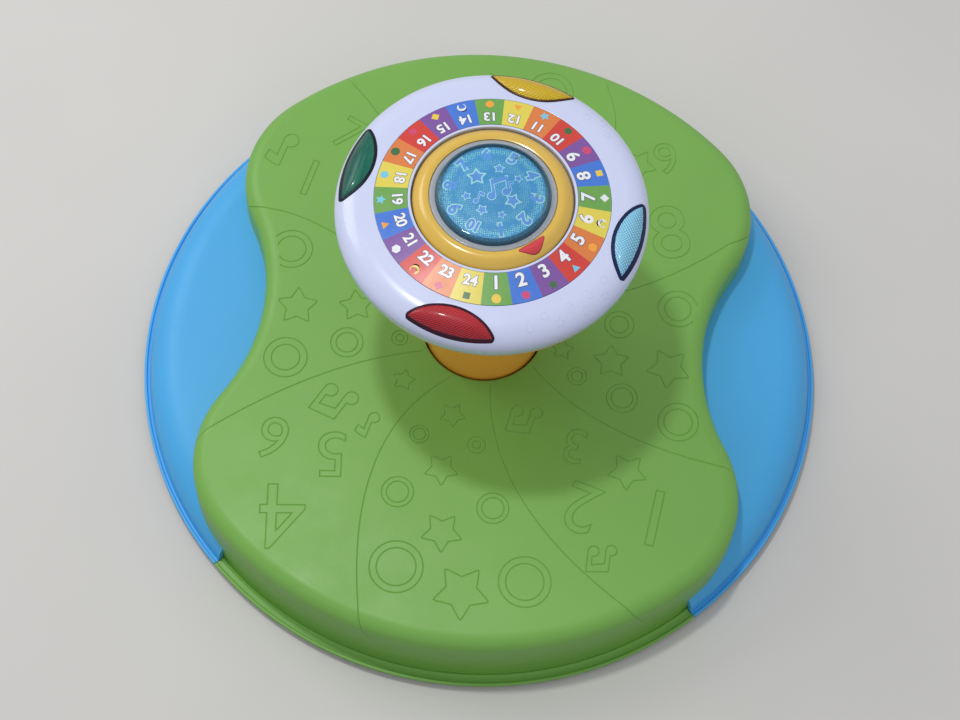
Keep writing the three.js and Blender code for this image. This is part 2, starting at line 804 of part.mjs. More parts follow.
function lowerShell() {
  const bore = postRadius + gap;
  const rim = splitHeight - gap;
  const bowl = (reach, low, steps) => quarter(bowlFlatRadius, rim, reach, low - rim, steps);
  const body = turned(
    [
      [bore, consoleBottom],
      [bowlFlatRadius, consoleBottom],
      ...bowl(bowlRadius - bowlFlatRadius, consoleBottom, bowlSteps),
      ...bowl(bowlRadius - bowlFlatRadius - shellWall, consoleFloor, bowlSteps / 2).reverse(),
      [bowlFlatRadius, consoleFloor],
      [socketRadius, consoleFloor],
      [socketRadius, postTop],
      [bore, postTop],
    ],
    wideFacets,
  );
  const posts = screwPlaces().map(([x, y]) =>
    rod(screwPostRadius, consoleFloor - weld, boardBottom - gap, tinyFacets).translate(x, y, 0),
  );
  const below = consoleBottom - overrun;
  const screwHoles = screwPlaces().flatMap(([x, y]) => [
    rod(screwRadius + gap, below, boardBottom + overrun, tinyFacets).translate(x, y, 0),
    rod(screwHeadRadius + gap, below, screwSeat() + gap, tinyFacets).translate(x, y, 0),
  ]);
  const slots = Array.from({ length: grilleSlots }, (_, i) => {
    const y = (i - (grilleSlots - 1) / 2) * grillePitch;
    const half = Math.sqrt(Math.max(grilleRadius ** 2 - y ** 2, grilleSlotWidth ** 2));
    const middle = -speakerOffset;
    return block(
      middle - half,
      middle + half,
      y - grilleSlotWidth / 2,
      y + grilleSlotWidth / 2,
      below,
      consoleFloor + overrun,
    );
  });
  const switchSlot = block(
    -slotHalfLength,
    slotHalfLength,
    switchY - sliderWidth / 2 - gap,
    switchY + sliderWidth / 2 + gap,
    below,
    consoleFloor + overrun,
  );
  const doorway = prism(doorOutline(gap), below, consoleFloor + overrun);
  return cut(join(body, ...posts), ...screwHoles, ...slots, switchSlot, doorway);
}

const screwSeat = () => consoleBottom + screwHeadSetback + screwHeadHeight;

// Height of the upper shell's outside at a radius beyond the dial.
function shellSurface(radius) {
  if (radius <= shoulderStartRadius) return consoleShoulder;
  const share = Math.min((radius - shoulderStartRadius) / (consoleRadius - shoulderStartRadius), 1);
  return flankTop + consoleShoulderRise * Math.sqrt(1 - share ** 2);
}

function upperShell() {
  const reach = consoleRadius - shoulderStartRadius;
  const edge = consoleEdgeRadius;
  const recess = dialThickness + gap;
  const underOuter = dialOuterHeight - recess - shellWall + gap;
  const underInner = dialInnerHeight - recess - shellWall;
  const wellWall = wellRadius + shellWall;
  const body = turned(
    [
      [edge, splitHeight],
      [edge + (consoleRadius - edge) * flankBulgeShare, splitHeight + flankHeight / 2],
      ...quarter(shoulderStartRadius, flankTop, reach, consoleShoulderRise, consoleShoulderSteps).reverse(),
      [shoulderStartRadius, consoleShoulder],
      [dialOuterRadius + gap, dialOuterHeight],
      [dialOuterRadius + gap, dialOuterHeight - recess],
      [dialInnerRadius - gap, dialInnerHeight - recess],
      [dialInnerRadius - gap, dialInnerHeight],
      [wellRadius, dialInnerHeight],
      [wellRadius, wellBottom],
      [sleeveRadius, wellBottom],
      [sleeveRadius, sleeveTop],
      [sleeveRadius - sleeveWall, sleeveTop],
      [sleeveRadius - sleeveWall, wellBottom],
      [plungerHoleRadius, wellBottom],
      [plungerHoleRadius, wellUnderside],
      [wellWall, wellUnderside],
      [wellWall, underInner],
      [shoulderStartRadius, underOuter],
      ...quarter(
        shoulderStartRadius,
        flankTop,
        reach - shellWall,
        underOuter - flankTop,
        consoleShoulderSteps / 2,
      ),
      [edge - shellWall, splitHeight],
    ],
    wideFacets,
  );
  const bosses = screwPlaces().map(([x, y]) =>
    rod(screwBossRadius, boardTop + gap, underOuter + weld, tinyFacets).translate(x, y, 0),
  );
  const pilots = screwPlaces().map(([x, y]) =>
    rod(screwRadius + gap, boardTop - overrun, boardTop + gap + screwBite + gap, tinyFacets)
      .translate(x, y, 0),
  );
  const windows = lensAngles().map((angle) =>
    prism(lensOutline(gap), flankTop - shellWall, dialInnerHeight + overrun).rotateZ(angle),
  );
  return cut(join(body, ...bosses), ...pilots, ...windows);
}

const lensAngles = () => round(lensCount, lensTurn);

// A lens in plan points along +X: an inner and an outer arc that meet at two tips, both grown alike.
function lensArc(middle, grow) {
  const tip = Math.sqrt(lensTipRadius ** 2 - lensHalfLength ** 2);
  const sag = middle - tip;
  const side = Math.sign(sag);
  const radius = (lensHalfLength ** 2 + sag ** 2) / (2 * Math.abs(sag));
  const centre = middle - side * radius;
  const reach = Math.asin(lensHalfLength / radius);
  return Array.from({ length: lensSteps + 1 }, (_, i) => {
    const turn = reach * ((2 * i) / lensSteps - 1);
    return [centre + side * (radius + grow) * Math.cos(turn), (radius + grow) * Math.sin(turn)];
  });
}

const lensOutline = (grow) => [
  ...lensArc(lensOuterRadius, grow),
  ...lensArc(lensInnerRadius, grow).reverse(),
];

// A lens follows the shell and swells over its middle. Its rows run across it, between the two tips.
function lensSolid() {
  const inner = lensArc(lensInnerRadius, 0);
  const outer = lensArc(lensOuterRadius, 0);
  const positions = [];
  const index = [];
  const put = (x, y, z) => {
    positions.push(x, y, z);
    return positions.length / 3 - 1;
  };
  const rows = inner.map(([innerX, innerY], i) => {
    const columns = i % lensSteps === 0 ? 1 : lensColumns + 1;
    return Array.from({ length: columns }, (_, j) => {
      const share = j / lensColumns;
      const x = innerX + (outer[i][0] - innerX) * share;
      const y = innerY + (outer[i][1] - innerY) * share;
      const along = (2 * i) / lensSteps - 1;
      const swell = lensBulge * (1 - (2 * share - 1) ** 2) * (1 - along ** 2);
      const base = shellSurface(Math.hypot(x, y));
      return { top: put(x, y, base + swell), bottom: put(x, y, base - lensThickness) };
    });
  });
  // A tip's row is one point, which stands for each point of its neighbour's row.
  const at = (i, j) => rows[i][Math.min(j, rows[i].length - 1)];
  const isTriangle = (corners) => new Set(corners).size === 3;
  const quad = (a, b, c, d) => index.push(...[[a, b, c], [a, c, d]].filter(isTriangle).flat());
  for (let i = 0; i < lensSteps; i++) {
    for (let j = 0; j < lensColumns; j++) {
      const [a, b, c, d] = [at(i, j), at(i, j + 1), at(i + 1, j + 1), at(i + 1, j)];
      quad(a.top, b.top, c.top, d.top);
      quad(d.bottom, c.bottom, b.bottom, a.bottom);
    }
    const [a, b, c, d] = [at(i, 0), at(i + 1, 0), at(i, lensColumns), at(i + 1, lensColumns)];
    quad(a.top, b.top, b.bottom, a.bottom);
    quad(d.top, c.top, c.bottom, d.bottom);
  }
  const geometry = new THREE.BufferGeometry();
  geometry.setAttribute("position", new THREE.Float32BufferAttribute(positions, 3));
  geometry.setIndex(index);
  return geometry;
}

function makeConsole() {
  add("console_lower_shell", lowerShell(), orangePlastic);
  add("console_upper_shell", upperShell(), whitePlastic);
  add(
    "dial_label",
    turned([
      [dialInnerRadius, dialInnerHeight - dialThickness],
      [dialOuterRadius, dialOuterHeight - dialThickness],
      [dialOuterRadius, dialOuterHeight],
      [dialInnerRadius, dialInnerHeight],
    ], wideFacets),
    printedLabel,
  );
  const names = ["yellow", "green", "red", "blue"];
  lensAngles().forEach((angle, i) => {
    add(`lens_${names[i]}`, lensSolid().rotateZ(angle), clear(lensColours[names[i]], 0.8));
    const led = rod(ledRadius, boardTop + gap, boardTop + gap + ledHeight, tinyFacets);
    led.translate(ledCircleRadius, 0, 0).rotateZ(angle);
    add(`led_${names[i]}`, led, clear(lensColours[names[i]], 0.7));
  });
  screwPlaces().forEach(([x, y], i) => {
    const seat = screwSeat();
    const screw = turned([
      [0, seat - screwHeadHeight],
      [screwHeadRadius, seat - screwHeadHeight],
      [screwHeadRadius, seat],
      [screwRadius, seat],
      [screwRadius, boardTop + gap + screwBite],
      [0, boardTop + gap + screwBite],
    ], tinyFacets);
    add(`console_screw_${i + 1}`, screw.translate(x, y, 0), steel);
  });
}

// The pointer ring's crowned top from its inner to its outer edge.
function ringSurface(raise) {
  return Array.from({ length: ringSteps + 1 }, (_, i) => {
    const share = i / ringSteps;
    const fall = (ringTop - (dialInnerHeight - ringEdgeDrop)) * share;
    const crown = ringCrown * Math.sin(Math.PI * share);
    const radius = ringStepRadius + (ringOuterRadius - ringStepRadius) * share;
    return [radius, ringTop - fall + crown * share + raise];
  });
}

function makePointer() {
  const surface = ringSurface(0);
  const body = turned(
    [
      [ringInnerRadius, wellBottom + gap],
      [ringOuterRadius, wellBottom + gap],
      ...surface.reverse(),
      [ringStepRadius, sleeveTop],
      [ringInnerRadius, sleeveTop],
    ],
    wideFacets,
  );
  const slope = (arrowHalfWidth - arrowTipHalfWidth) / (arrowTipRadius - arrowBaseRadius);
  const halfWidth = (x, grow) => arrowHalfWidth - slope * (x - arrowBaseRadius) + grow * Math.hypot(1, slope);
  const outline = (grow) => {
    const base = arrowBaseRadius - grow;
    const tip = arrowTipRadius + grow;
    return [
      [base, -halfWidth(base, grow)],
      [tip, -halfWidth(tip, grow)],
      [tip, halfWidth(tip, grow)],
      [base, halfWidth(base, grow)],
    ];
  };
  const column = (grow) => prism(outline(grow), wellBottom, ringTop + ringCrown + overrun).rotateZ(arrowTurn);
  const band = (low, high) => turned([...ringSurface(low), ...ringSurface(high).reverse()], wideFacets);
  const pocket = common(column(gap), band(-arrowDepth - gap, ringCrown));
  add("pointer_ring", cut(body, pocket), yellowPlastic);
  add("pointer_arrow", common(column(0), band(-arrowDepth, arrowProud)), redPlastic);
}

// The dome's top seen from inside, at a depth below the outside and out to a radius.
function domeCrown(depth, radius) {
  const top = domeFlangeTop + domeSideHeight;
  const radii = Array.from({ length: domeSteps + 1 }, (_, i) => (radius * i) / domeSteps);
  return radii.map((r) => [r, top + domeRise * (1 - (r / domeRadius) ** 2) - depth]);
}

// The dome's skin from its axis to its side, at an inset from the outside.
function domeSkin(inset) {
  const side = domeRadius - inset;
  const flatEnd = domeRadius - domeRoundRadius;
  const crown = domeCrown(inset, flatEnd);
  const last = crown.at(-1)[1];
  const knee = [side - (side - flatEnd) * domeRoundShare, last - domeRoundRadius * domeRoundShare];
  return [...crown, knee, [side, last - domeRoundRadius]];
}

function makeDome() {
  const flange = domeRadius + domeFlangeWidth;
  const inner = domeRadius - domeWall;
  const cap = turned(
    [
      ...domeSkin(0),
      [domeRadius, domeFlangeTop],
      [flange, domeFlangeTop],
      [flange, domeFlangeBottom],
      [inner, domeFlangeBottom],
      ...domeSkin(domeWall).reverse(),
    ],
    mediumFacets,
  );
  add("dome_cap", cap, clearBlue);
  const top = domeWall + gap;
  const underside = domeCrown(top + printDiscThickness, domeRadius - domeRoundRadius - gap);
  const [discRadius, discEdge] = underside.at(-1);
  const plungerBottom = switchTop + domeTravel + gap;
  add(
    "dome_print_disc",
    turned([
      [0, plungerBottom],
      [plungerRadius, plungerBottom],
      [plungerRadius, discEdge],
      [discRadius, discEdge],
      ...domeCrown(top, discRadius).reverse(),
    ], mediumFacets),
    clearBlue,
  );
  add(
    "dome_bezel",
    tube(domeRadius + domePlay, bezelRadius, bezelBottom, bezelBottom + bezelHeight, mediumFacets),
    clearGrey,
  );
  add("dome_spring", spring(wellBottom + gap, discEdge - gap), steel);
}

// A compression spring between two heights.
class Coil extends THREE.Curve {
  constructor(low, high) {
    super();
    this.low = low;
    this.high = high;
  }
  getPoint(t, target = new THREE.Vector3()) {
    const angle = 2 * Math.PI * springTurns * t;
    const z = this.low + (this.high - this.low) * t;
    return target.set(springRadius * Math.cos(angle), springRadius * Math.sin(angle), z);
  }
}

function spring(low, high) {
  const section = new THREE.Shape(
    round(springSides).map((a) => new THREE.Vector2(...polar(springWire, a))),
  );
  return new THREE.ExtrudeGeometry(section, {
    steps: springTurns * springStepsPerTurn,
    extrudePath: new Coil(low + springWire, high - springWire),
    bevelEnabled: false,
  });
}

function makeElectronics() {
  const outline = new THREE.Shape(
    round(mediumFacets).map((a) => new THREE.Vector2(...polar(boardRadius, a))),
  );
  const hole = screwRadius + gap;
  screwPlaces().forEach(([x, y]) => {
    const ring = round(tinyFacets).map((a) => new THREE.Vector2(...polar(hole, a)));
    outline.holes.push(new THREE.Path(ring.map((p) => p.add(new THREE.Vector2(x, y)))));
  });
  const board = new THREE.ExtrudeGeometry(outline, { depth: boardThickness, bevelEnabled: false, steps: 1 });
  add("circuit_board", board.translate(0, 0, boardBottom), boardGreen);
  const half = switchBodySize / 2;
  const bodyTop = boardTop + gap + switchBodyHeight;
  const body = block(-half, half, -half, half, boardTop + gap, bodyTop);
  const button = rod(switchButtonRadius, bodyTop - weld, switchTop, tinyFacets);
  add("press_switch", join(body, button), blackPlastic);
  const low = consoleFloor + gap;
  const speaker = turned([
    [0, low],
    [speakerRadius, low],
    [speakerRadius, low + speakerFlange],
    [speakerMagnetRadius, low + speakerFlange + speakerConeHeight],
    [speakerMagnetRadius, low + speakerFlange + speakerConeHeight + speakerMagnetHeight],
    [0, low + speakerFlange + speakerConeHeight + speakerMagnetHeight],
  ], smallFacets);
  add("speaker", speaker.translate(-speakerOffset, 0, 0), blackPlastic);
}

function makeBatteries() {
  const boxBottom = consoleFloor + gap;
  const cellsTop = cellHeight + cellRadius;
  const boxTop = cellsTop + boxHeadroom + boxWall;
  const x0 = doorStart;
  const x1 = doorEnd;
  const y1 = doorHalfWidth;
  const outside = block(x0 - boxWall, x1 + boxWall, -y1 - boxWall, y1 + boxWall, boxBottom, boxTop);
  const inside = block(x0, x1, -y1, y1, boxBottom - overrun, boxTop - boxWall);
  const lug = block(
    lugCentre.x - lugWidth / 2,
    lugCentre.x + lugWidth / 2,
    y1 + boxWall - weld,
    lugCentre.y + lugWidth / 2,
    boxBottom,
    boxBottom + lugHeight,
  );
  const pilot = rod(doorScrewRadius + gap, boxBottom - overrun, boxBottom + doorScrewLength, tinyFacets);
  pilot.translate(lugCentre.x, lugCentre.y, 0);
  add("battery_box", cut(join(outside, lug), inside, pilot), blackPlastic);
  for (let i = 0; i < cellCount; i++) {
    const facing = i % 2 ? -1 : 1;
    const cell = turned([
      [0, -cellLength / 2],
      [cellRadius, -cellLength / 2],
      [cellRadius, cellLength / 2],
      [cellNubRadius, cellLength / 2],
      [cellNubRadius, cellLength / 2 + cellNubLength],
      [0, cellLength / 2 + cellNubLength],
    ], smallFacets);
    cell.translate(0, 0, -cellNubLength / 2).rotateY((facing * Math.PI) / 2);
    cell.translate((cellStart + cellsEnd) / 2, (i - (cellCount - 1) / 2) * cellPitch, cellHeight);
    add(`battery_cell_${i + 1}`, cell, cellCase);
  }
  const headSpace = doorScrewHeadHeight + gap;
  const door = cut(
    prism(doorOutline(0), consoleBottom, consoleFloor),
    rod(doorScrewRadius + gap, consoleBottom - overrun, consoleFloor + overrun, tinyFacets)
      .translate(lugCentre.x, lugCentre.y, 0),
    rod(doorScrewHeadRadius + gap, consoleBottom - overrun, consoleBottom + headSpace, tinyFacets)
      .translate(lugCentre.x, lugCentre.y, 0),
  );
  add("battery_door", door, orangePlastic);
  const screw = turned([
    [0, consoleBottom],
    [doorScrewHeadRadius, consoleBottom],
    [doorScrewHeadRadius, consoleBottom + doorScrewHeadHeight],
    [doorScrewRadius, consoleBottom + doorScrewHeadHeight],
    [doorScrewRadius, boxBottom + doorScrewLength - gap],
    [0, boxBottom + doorScrewLength - gap],
  ], tinyFacets);
  add("battery_door_screw", screw.translate(lugCentre.x, lugCentre.y, 0), steel);
}

function makePowerSwitch() {
  const plateLow = consoleFloor + gap;
  const x = -switchTravel / 2;
  const stem = block(
    x - sliderLength / 2,
    x + sliderLength / 2,
    switchY - sliderWidth / 2,
    switchY + sliderWidth / 2,
    consoleBottom - sliderProud,
    plateLow + weld,
  );
  const plate = block(
    x - sliderPlateLength / 2,
    x + sliderPlateLength / 2,
    switchY - sliderPlateWidth / 2,
    switchY + sliderPlateWidth / 2,
    plateLow,
    plateLow + sliderPlateThickness,
  );
  add("power_switch", join(stem, plate), blackPlastic);
}

makeBase();
makeBearing();
makeRollers();
makeSeat();
makeColumn();
makeConsole();
makePointer();
makeDome();
makeElectronics();
makeBatteries();
makePowerSwitch();

export default toy;
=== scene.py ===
# A sit-and-spin ride-on toy: the looks of its pieces, built round the frame of its construction.
import json
import math

import bmesh
import bpy
import numpy as np
from bpy.props import FloatProperty, FloatVectorProperty, IntProperty, PointerProperty
from mathutils import Matrix, Vector
from mathutils.geometry import delaunay_2d_cdt


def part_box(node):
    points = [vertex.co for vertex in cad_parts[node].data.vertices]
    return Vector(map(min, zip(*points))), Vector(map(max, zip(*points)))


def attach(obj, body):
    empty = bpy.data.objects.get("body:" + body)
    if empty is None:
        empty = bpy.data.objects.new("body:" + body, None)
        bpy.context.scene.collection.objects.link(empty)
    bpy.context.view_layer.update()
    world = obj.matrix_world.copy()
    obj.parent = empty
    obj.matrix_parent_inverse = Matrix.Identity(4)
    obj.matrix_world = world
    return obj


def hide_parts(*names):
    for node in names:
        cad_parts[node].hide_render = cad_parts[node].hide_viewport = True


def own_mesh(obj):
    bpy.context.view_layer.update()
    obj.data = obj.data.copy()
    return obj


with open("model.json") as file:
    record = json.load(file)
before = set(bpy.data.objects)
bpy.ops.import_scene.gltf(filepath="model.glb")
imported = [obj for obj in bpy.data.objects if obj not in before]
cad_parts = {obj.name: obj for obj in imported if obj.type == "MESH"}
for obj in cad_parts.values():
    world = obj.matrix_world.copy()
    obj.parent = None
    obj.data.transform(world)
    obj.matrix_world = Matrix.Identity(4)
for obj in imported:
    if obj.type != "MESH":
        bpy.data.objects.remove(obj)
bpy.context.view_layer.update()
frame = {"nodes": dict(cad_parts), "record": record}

bl_info = {
    "name": "Sit-and-spin toy",
    "version": (1, 0, 0),
    "blender": (4, 5, 0),
    "location": "View3D > Sidebar > Toy",
    "description": "Dresses the packed frame of a turntable toy with moulded shells, prints and lenses",
    "category": "Object",
}

MM = 0.001

# The heights and radii of the frame that the pieces start from
SEAT_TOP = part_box("seat_shell")[1].z
RIM_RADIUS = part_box("footrest_platform")[1].x
COLUMN_LOW, COLUMN_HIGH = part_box("column_cover")
BOWL_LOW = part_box("console_lower_shell")[0].z
CONSOLE_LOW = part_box("console_upper_shell")[0].z
LABEL_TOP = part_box("dial_label")[1].z
RING_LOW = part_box("pointer_ring")[0].z
CAP_LOW, CAP_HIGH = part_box("dome_cap")
BEZEL_LOW, BEZEL_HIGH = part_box("dome_bezel")
DISC_LOW, DISC_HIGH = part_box("dome_print_disc")

# Measures that several pieces share: the rollers' track, the bore round the post, half the seam between seat
# and footrests, the rounding of the seat's hole, the dial's fall towards its edge and the dome's radius
TRACK_RADIUS = 138 * MM
ROLLER_ANGLES = [math.radians(45 + 90 * i) for i in range(4)]
POST_BORE = 12.8 * MM
SEAM = 0.3 * MM
HOLE_LIP = 1 * MM
DIAL_FALL = 3 * MM
DOME_SIDE = 37.5 * MM

# The photograph's camera is turned about the vertical by this angle, and so are the marks placed by it.
VIEW_TURN = math.radians(2)


def linear(red, green, blue):
    """A colour given as it looks on a screen, 0 to 255, in the shader's linear values."""
    shares = [value / 255 for value in (red, green, blue)]
    return tuple(s / 12.92 if s <= 0.04045 else ((s + 0.055) / 1.055) ** 2.4 for s in shares)


def length(name, description, default):
    return FloatProperty(name=name, description=description, default=default, unit="LENGTH", precision=5)


def colour(name, description, *screen):
    return FloatVectorProperty(
        name=name, description=description, default=linear(*screen), size=3, subtype="COLOR", min=0, max=1
    )


class SeatSettings(bpy.types.PropertyGroup):
    """Sizes of the saddle seat"""

    top: length("Top", "Height of the flat top", SEAT_TOP)
    wall: length("Wall", "Thickness of the moulding", 3 * MM)
    shoulder: length("Shoulder", "Radius between top and wall", 12 * MM)
    draft: length("Draft", "How far the wall leans out at its foot", 1.5 * MM)
    waist_half_width: length("Waist", "Half the width between the footrests", 167 * MM)
    waist_radius: length("Waist arc", "Radius of the hollow arc at the waist", 150 * MM)
    lobe_radius: length("Lobe arc", "Radius of the four lobes", 85 * MM)
    end_radius: length("End arc", "Radius of the front and back wall", 249 * MM)
    hole_radius: length("Hole", "Radius of the hole round the column", 45.5 * MM)
    foot_fillet: length("Foot fillet", "Hollow rounding where the wall meets the rim", 3 * MM)
    groove_width: length("Groove width", "Width of the engraved lines", 1.3 * MM)
    groove_depth: length("Groove depth", "Depth of the engraved lines", 0.55 * MM)


class RimSettings(bpy.types.PropertyGroup):
    """Sizes of the turning rim and the footrests"""

    radius: length("Rim", "Outer radius of the rim", RIM_RADIUS)
    clearance: length("Clearance", "Height of the rim's underside", 5 * MM)
    channel_top: length("Channel", "Height of the channel inside the bead", 7.6 * MM)
    bead_width: length("Bead width", "Width of the raised bead", 2.2 * MM)
    bead_height: length("Bead height", "Height of the bead over the channel", 1.6 * MM)
    foot_radius: length("Foot", "Radius where the footrest meets the channel", 255.4 * MM)
    flat_radius: length("Flat", "Radius where the footrest starts to fall", 228 * MM)
    footrest_top: length("Footrest", "Height of the footrests", 34 * MM)
    wall: length("Wall", "Thickness of the moulding", 3 * MM)
    inner_radius: length("Cut edge", "Radius of the platform under the seat's ends", 225 * MM)
    junction: FloatProperty(
        name="Junction", description="Angle from the X axis where footrest and seat meet",
        default=math.radians(47), subtype="ANGLE",
    )


class ConsoleSettings(bpy.types.PropertyGroup):
    """Sizes of the console"""

    edge_radius: length("Edge", "Radius of the lower edge of the white shell", 101.4 * MM)
    radius: length("Radius", "Widest radius of the console", 104 * MM)
    flank: length("Flank", "Height of the white flank", 11 * MM)
    crown_radius: length("Crown", "Radius where the shoulder ends", 85 * MM)
    crown_rise: length("Crown rise", "Rise of the shoulder over the flank", 12.7 * MM)
    dial_outer: length("Dial outside", "Outer radius of the dial", 77.6 * MM)
    dial_inner: length("Dial inside", "Inner radius of the dial", 56 * MM)
    well_radius: length("Well", "Radius of the well of the pointer ring", 54 * MM)
    lens_turn: FloatProperty(
        name="Lens turn", description="Angle of the first lens from the X axis",
        default=math.radians(79.2), subtype="ANGLE",
    )
    lens_half_length: length("Lens half length", "Half the distance between a lens's tips", 29.5 * MM)
    lens_tip: length("Lens tip", "Radius of a lens's tips from the axis", 100.3 * MM)
    lens_inner: length("Lens inside", "Radius that the inner edge reaches", 81.7 * MM)
    lens_outer: length("Lens outside", "Radius that the outer edge reaches", 101.8 * MM)
    lens_bulge: length("Lens bulge", "Swell of a lens over the shell", 3 * MM)
    wedges: IntProperty(name="Wedges", description="Coloured wedges of the dial", default=24, min=6, max=48)
    arrow_turn: FloatProperty(
        name="Arrow turn", description="Angle of the red arrow from the X axis",
        default=math.radians(-50), subtype="ANGLE",
    )


class ColourSettings(bpy.types.PropertyGroup):
    """Colours of the mouldings and prints"""

    green: colour("Green", "Seat", 122, 178, 78)
    blue: colour("Blue", "Footrests", 72, 176, 238)
    orange: colour("Orange", "Column and console underside", 255, 172, 62)
    white: colour("White", "Console", 210, 217, 246)
    yellow: colour("Yellow", "Pointer ring", 228, 186, 76)
    red: colour("Red", "Arrow", 216, 58, 66)
    dome: colour("Dome", "Printed disc under the dome", 66, 166, 228)
    rib: colour("Ribs", "Ribs inside the dome's wall", 70, 164, 206)
    figure: colour("Figures", "Figures printed under the dome", 104, 172, 255)
    lens_yellow: colour("Yellow lens", "Lens at the back", 255, 226, 52)
    lens_green: colour("Green lens", "Lens at the left", 12, 112, 90)
    lens_red: colour("Red lens", "Lens at the front", 255, 62, 68)
    lens_blue: colour("Blue lens", "Lens at the right", 178, 240, 255)


def seat():
    return bpy.context.scene.toy_seat


def rim():
    return bpy.context.scene.toy_rim


def console():
    return bpy.context.scene.toy_console


def colours():
    return bpy.context.scene.toy_colours


# Finishes
class Nodes:
    """A short way to add and link the nodes of one material."""

    def __init__(self, name):
        self.material = bpy.data.materials.new(name)
        self.material.use_nodes = True
        self.tree = self.material.node_tree
        self.shader = self.tree.nodes["Principled BSDF"]

    def fill(self, node, **settings):
        """Set a node's inputs and its other settings by their names."""
        for key, value in settings.items():
            if key in node.inputs:
                node.inputs[key].default_value = value
            else:
                setattr(node, key, value)
        return node

    def add(self, kind, **settings):
        return self.fill(self.tree.nodes.new(kind), **settings)

    def link(self, start, end):
        self.tree.links.new(start, end)

    def into(self, socket, value):
        """Lead a value into one of the shader's sockets."""
        self.link(value, self.shader.inputs[socket])

    def place(self):
        return self.add("ShaderNodeTexCoord").outputs["Object"]

    def noise(self, scale, detail=3.0, roughness=0.5):
        node = self.add("ShaderNodeTexNoise", Scale=scale, Detail=detail, Roughness=roughness)
        self.link(self.place(), node.inputs["Vector"])
        return node.outputs["Fac"]

    def spread(self, value, low, high, start=0.3, end=0.7):
        """A value between start and end, mapped to one between low and high."""
        reach = {"From Min": start, "From Max": end, "To Min": low, "To Max": high}
        node = self.add("ShaderNodeMapRange", **reach)
        self.link(value, node.inputs["Value"])
        return node.outputs["Result"]

    def mix(self, share, first, second):
        # The node's colour sockets share their names with others, so they are taken by number.
        node = self.add("ShaderNodeMix", data_type="RGBA")
        for socket, value in ((node.inputs[6], first), (node.inputs[7], second)):
            if isinstance(value, bpy.types.NodeSocket):
                self.link(value, socket)
            else:
                socket.default_value = (*value, 1)
        self.link(share, node.inputs[0])
        return node.outputs[2]

    def mottled(self, tint, low, high, *grain):
        """A tint that a noise moves between two shares of itself."""
        share = self.spread(self.noise(*grain), 0.0, 1.0)
        return self.mix(share, shade(tint, low), shade(tint, high))

    def uneven(self, roughness, below, above, *grain):
        """Let a noise move the shader's roughness."""
        self.into("Roughness", self.spread(self.noise(*grain), roughness - below, roughness + above))

    def bump(self, height, distance, below=None):
        node = self.add("ShaderNodeBump", Strength=1.0, Distance=distance)
        self.link(height, node.inputs["Height"])
        if below is not None:
            self.link(below, node.inputs["Normal"])
        return node.outputs["Normal"]


def shade(tint, share):
    """A colour darkened below one or lightened above it."""
    return tuple(min(channel * share, 1.0) for channel in tint)


def moulded(name, tint, roughness=0.45, grain=0.015 * MM, patch=0.02, coat=0.0, wave=0.03 * MM, gloss=0.5):
    """Moulded plastic: fine grain, faint uneven colour and handling marks in its gloss."""
    made = Nodes(name)
    base = made.mottled(tint, 1 - patch, 1 + patch, 9.0, 3.0)
    dust = made.spread(made.noise(420.0, 2.0), 0.0, 0.05, 0.62, 0.75)
    made.into("Base Color", made.mix(dust, base, shade(tint, 1.4)))
    made.uneven(roughness, 0.05, 0.07, 30.0, 6.0, 0.65)
    fine = made.bump(made.noise(2600.0, 2.0), grain)
    made.into("Normal", made.bump(made.noise(24.0, 1.0), wave, fine))
    looks = {"Coat Weight": coat, "Coat Roughness": 0.12, "Specular IOR Level": gloss, "IOR": 1.49}
    made.fill(made.shader, **looks)
    return made.material


def orange(name):
    return moulded(name, colours().orange, 0.3, 0.008 * MM, 0.03, 0.3)


def grey(name):
    return moulded(name, linear(120, 122, 126), 0.5, 0.02 * MM, 0.05)


def ink(name, tint):
    """Printed colour under a thin laminate, with a faint print grain."""
    made = Nodes(name)
    made.into("Base Color", made.mottled(tint, 0.94, 1.05, 1500.0, 1.0))
    made.uneven(0.3, 0.08, 0.08, 60.0, 4.0)
    made.fill(made.shader, **{"Coat Weight": 0.3, "Coat Roughness": 0.15})
    return made.material


def steel(name):
    """Plated steel with fine turning marks and dull patches."""
    made = Nodes(name)
    made.into("Base Color", made.mottled(linear(186, 188, 192), 0.85, 1.08, 90.0, 5.0))
    made.uneven(0.32, 0.08, 0.12, 300.0, 3.0)
    made.into("Normal", made.bump(made.noise(1800.0, 2.0), 0.01 * MM))
    made.fill(made.shader, Metallic=1.0)
    return made.material


def rubber(name, tint):
    made = Nodes(name)
    made.into("Base Color", made.mottled(tint, 0.8, 1.3, 200.0))
    made.into("Normal", made.bump(made.noise(900.0, 3.0), 0.06 * MM))
    made.fill(made.shader, Roughness=0.85)
    return made.material


def clear(name, tint, roughness, weight, index=1.49):
    """Clear tinted plastic with faint moulding waves."""
    made = Nodes(name)
    made.into("Base Color", made.mottled(tint, 0.95, 1.03, 25.0))
    made.into("Normal", made.bump(made.noise(60.0, 1.0), 0.03 * MM))
    made.fill(made.shader, **{"Roughness": roughness, "Transmission Weight": weight, "IOR": index})
    return made.material


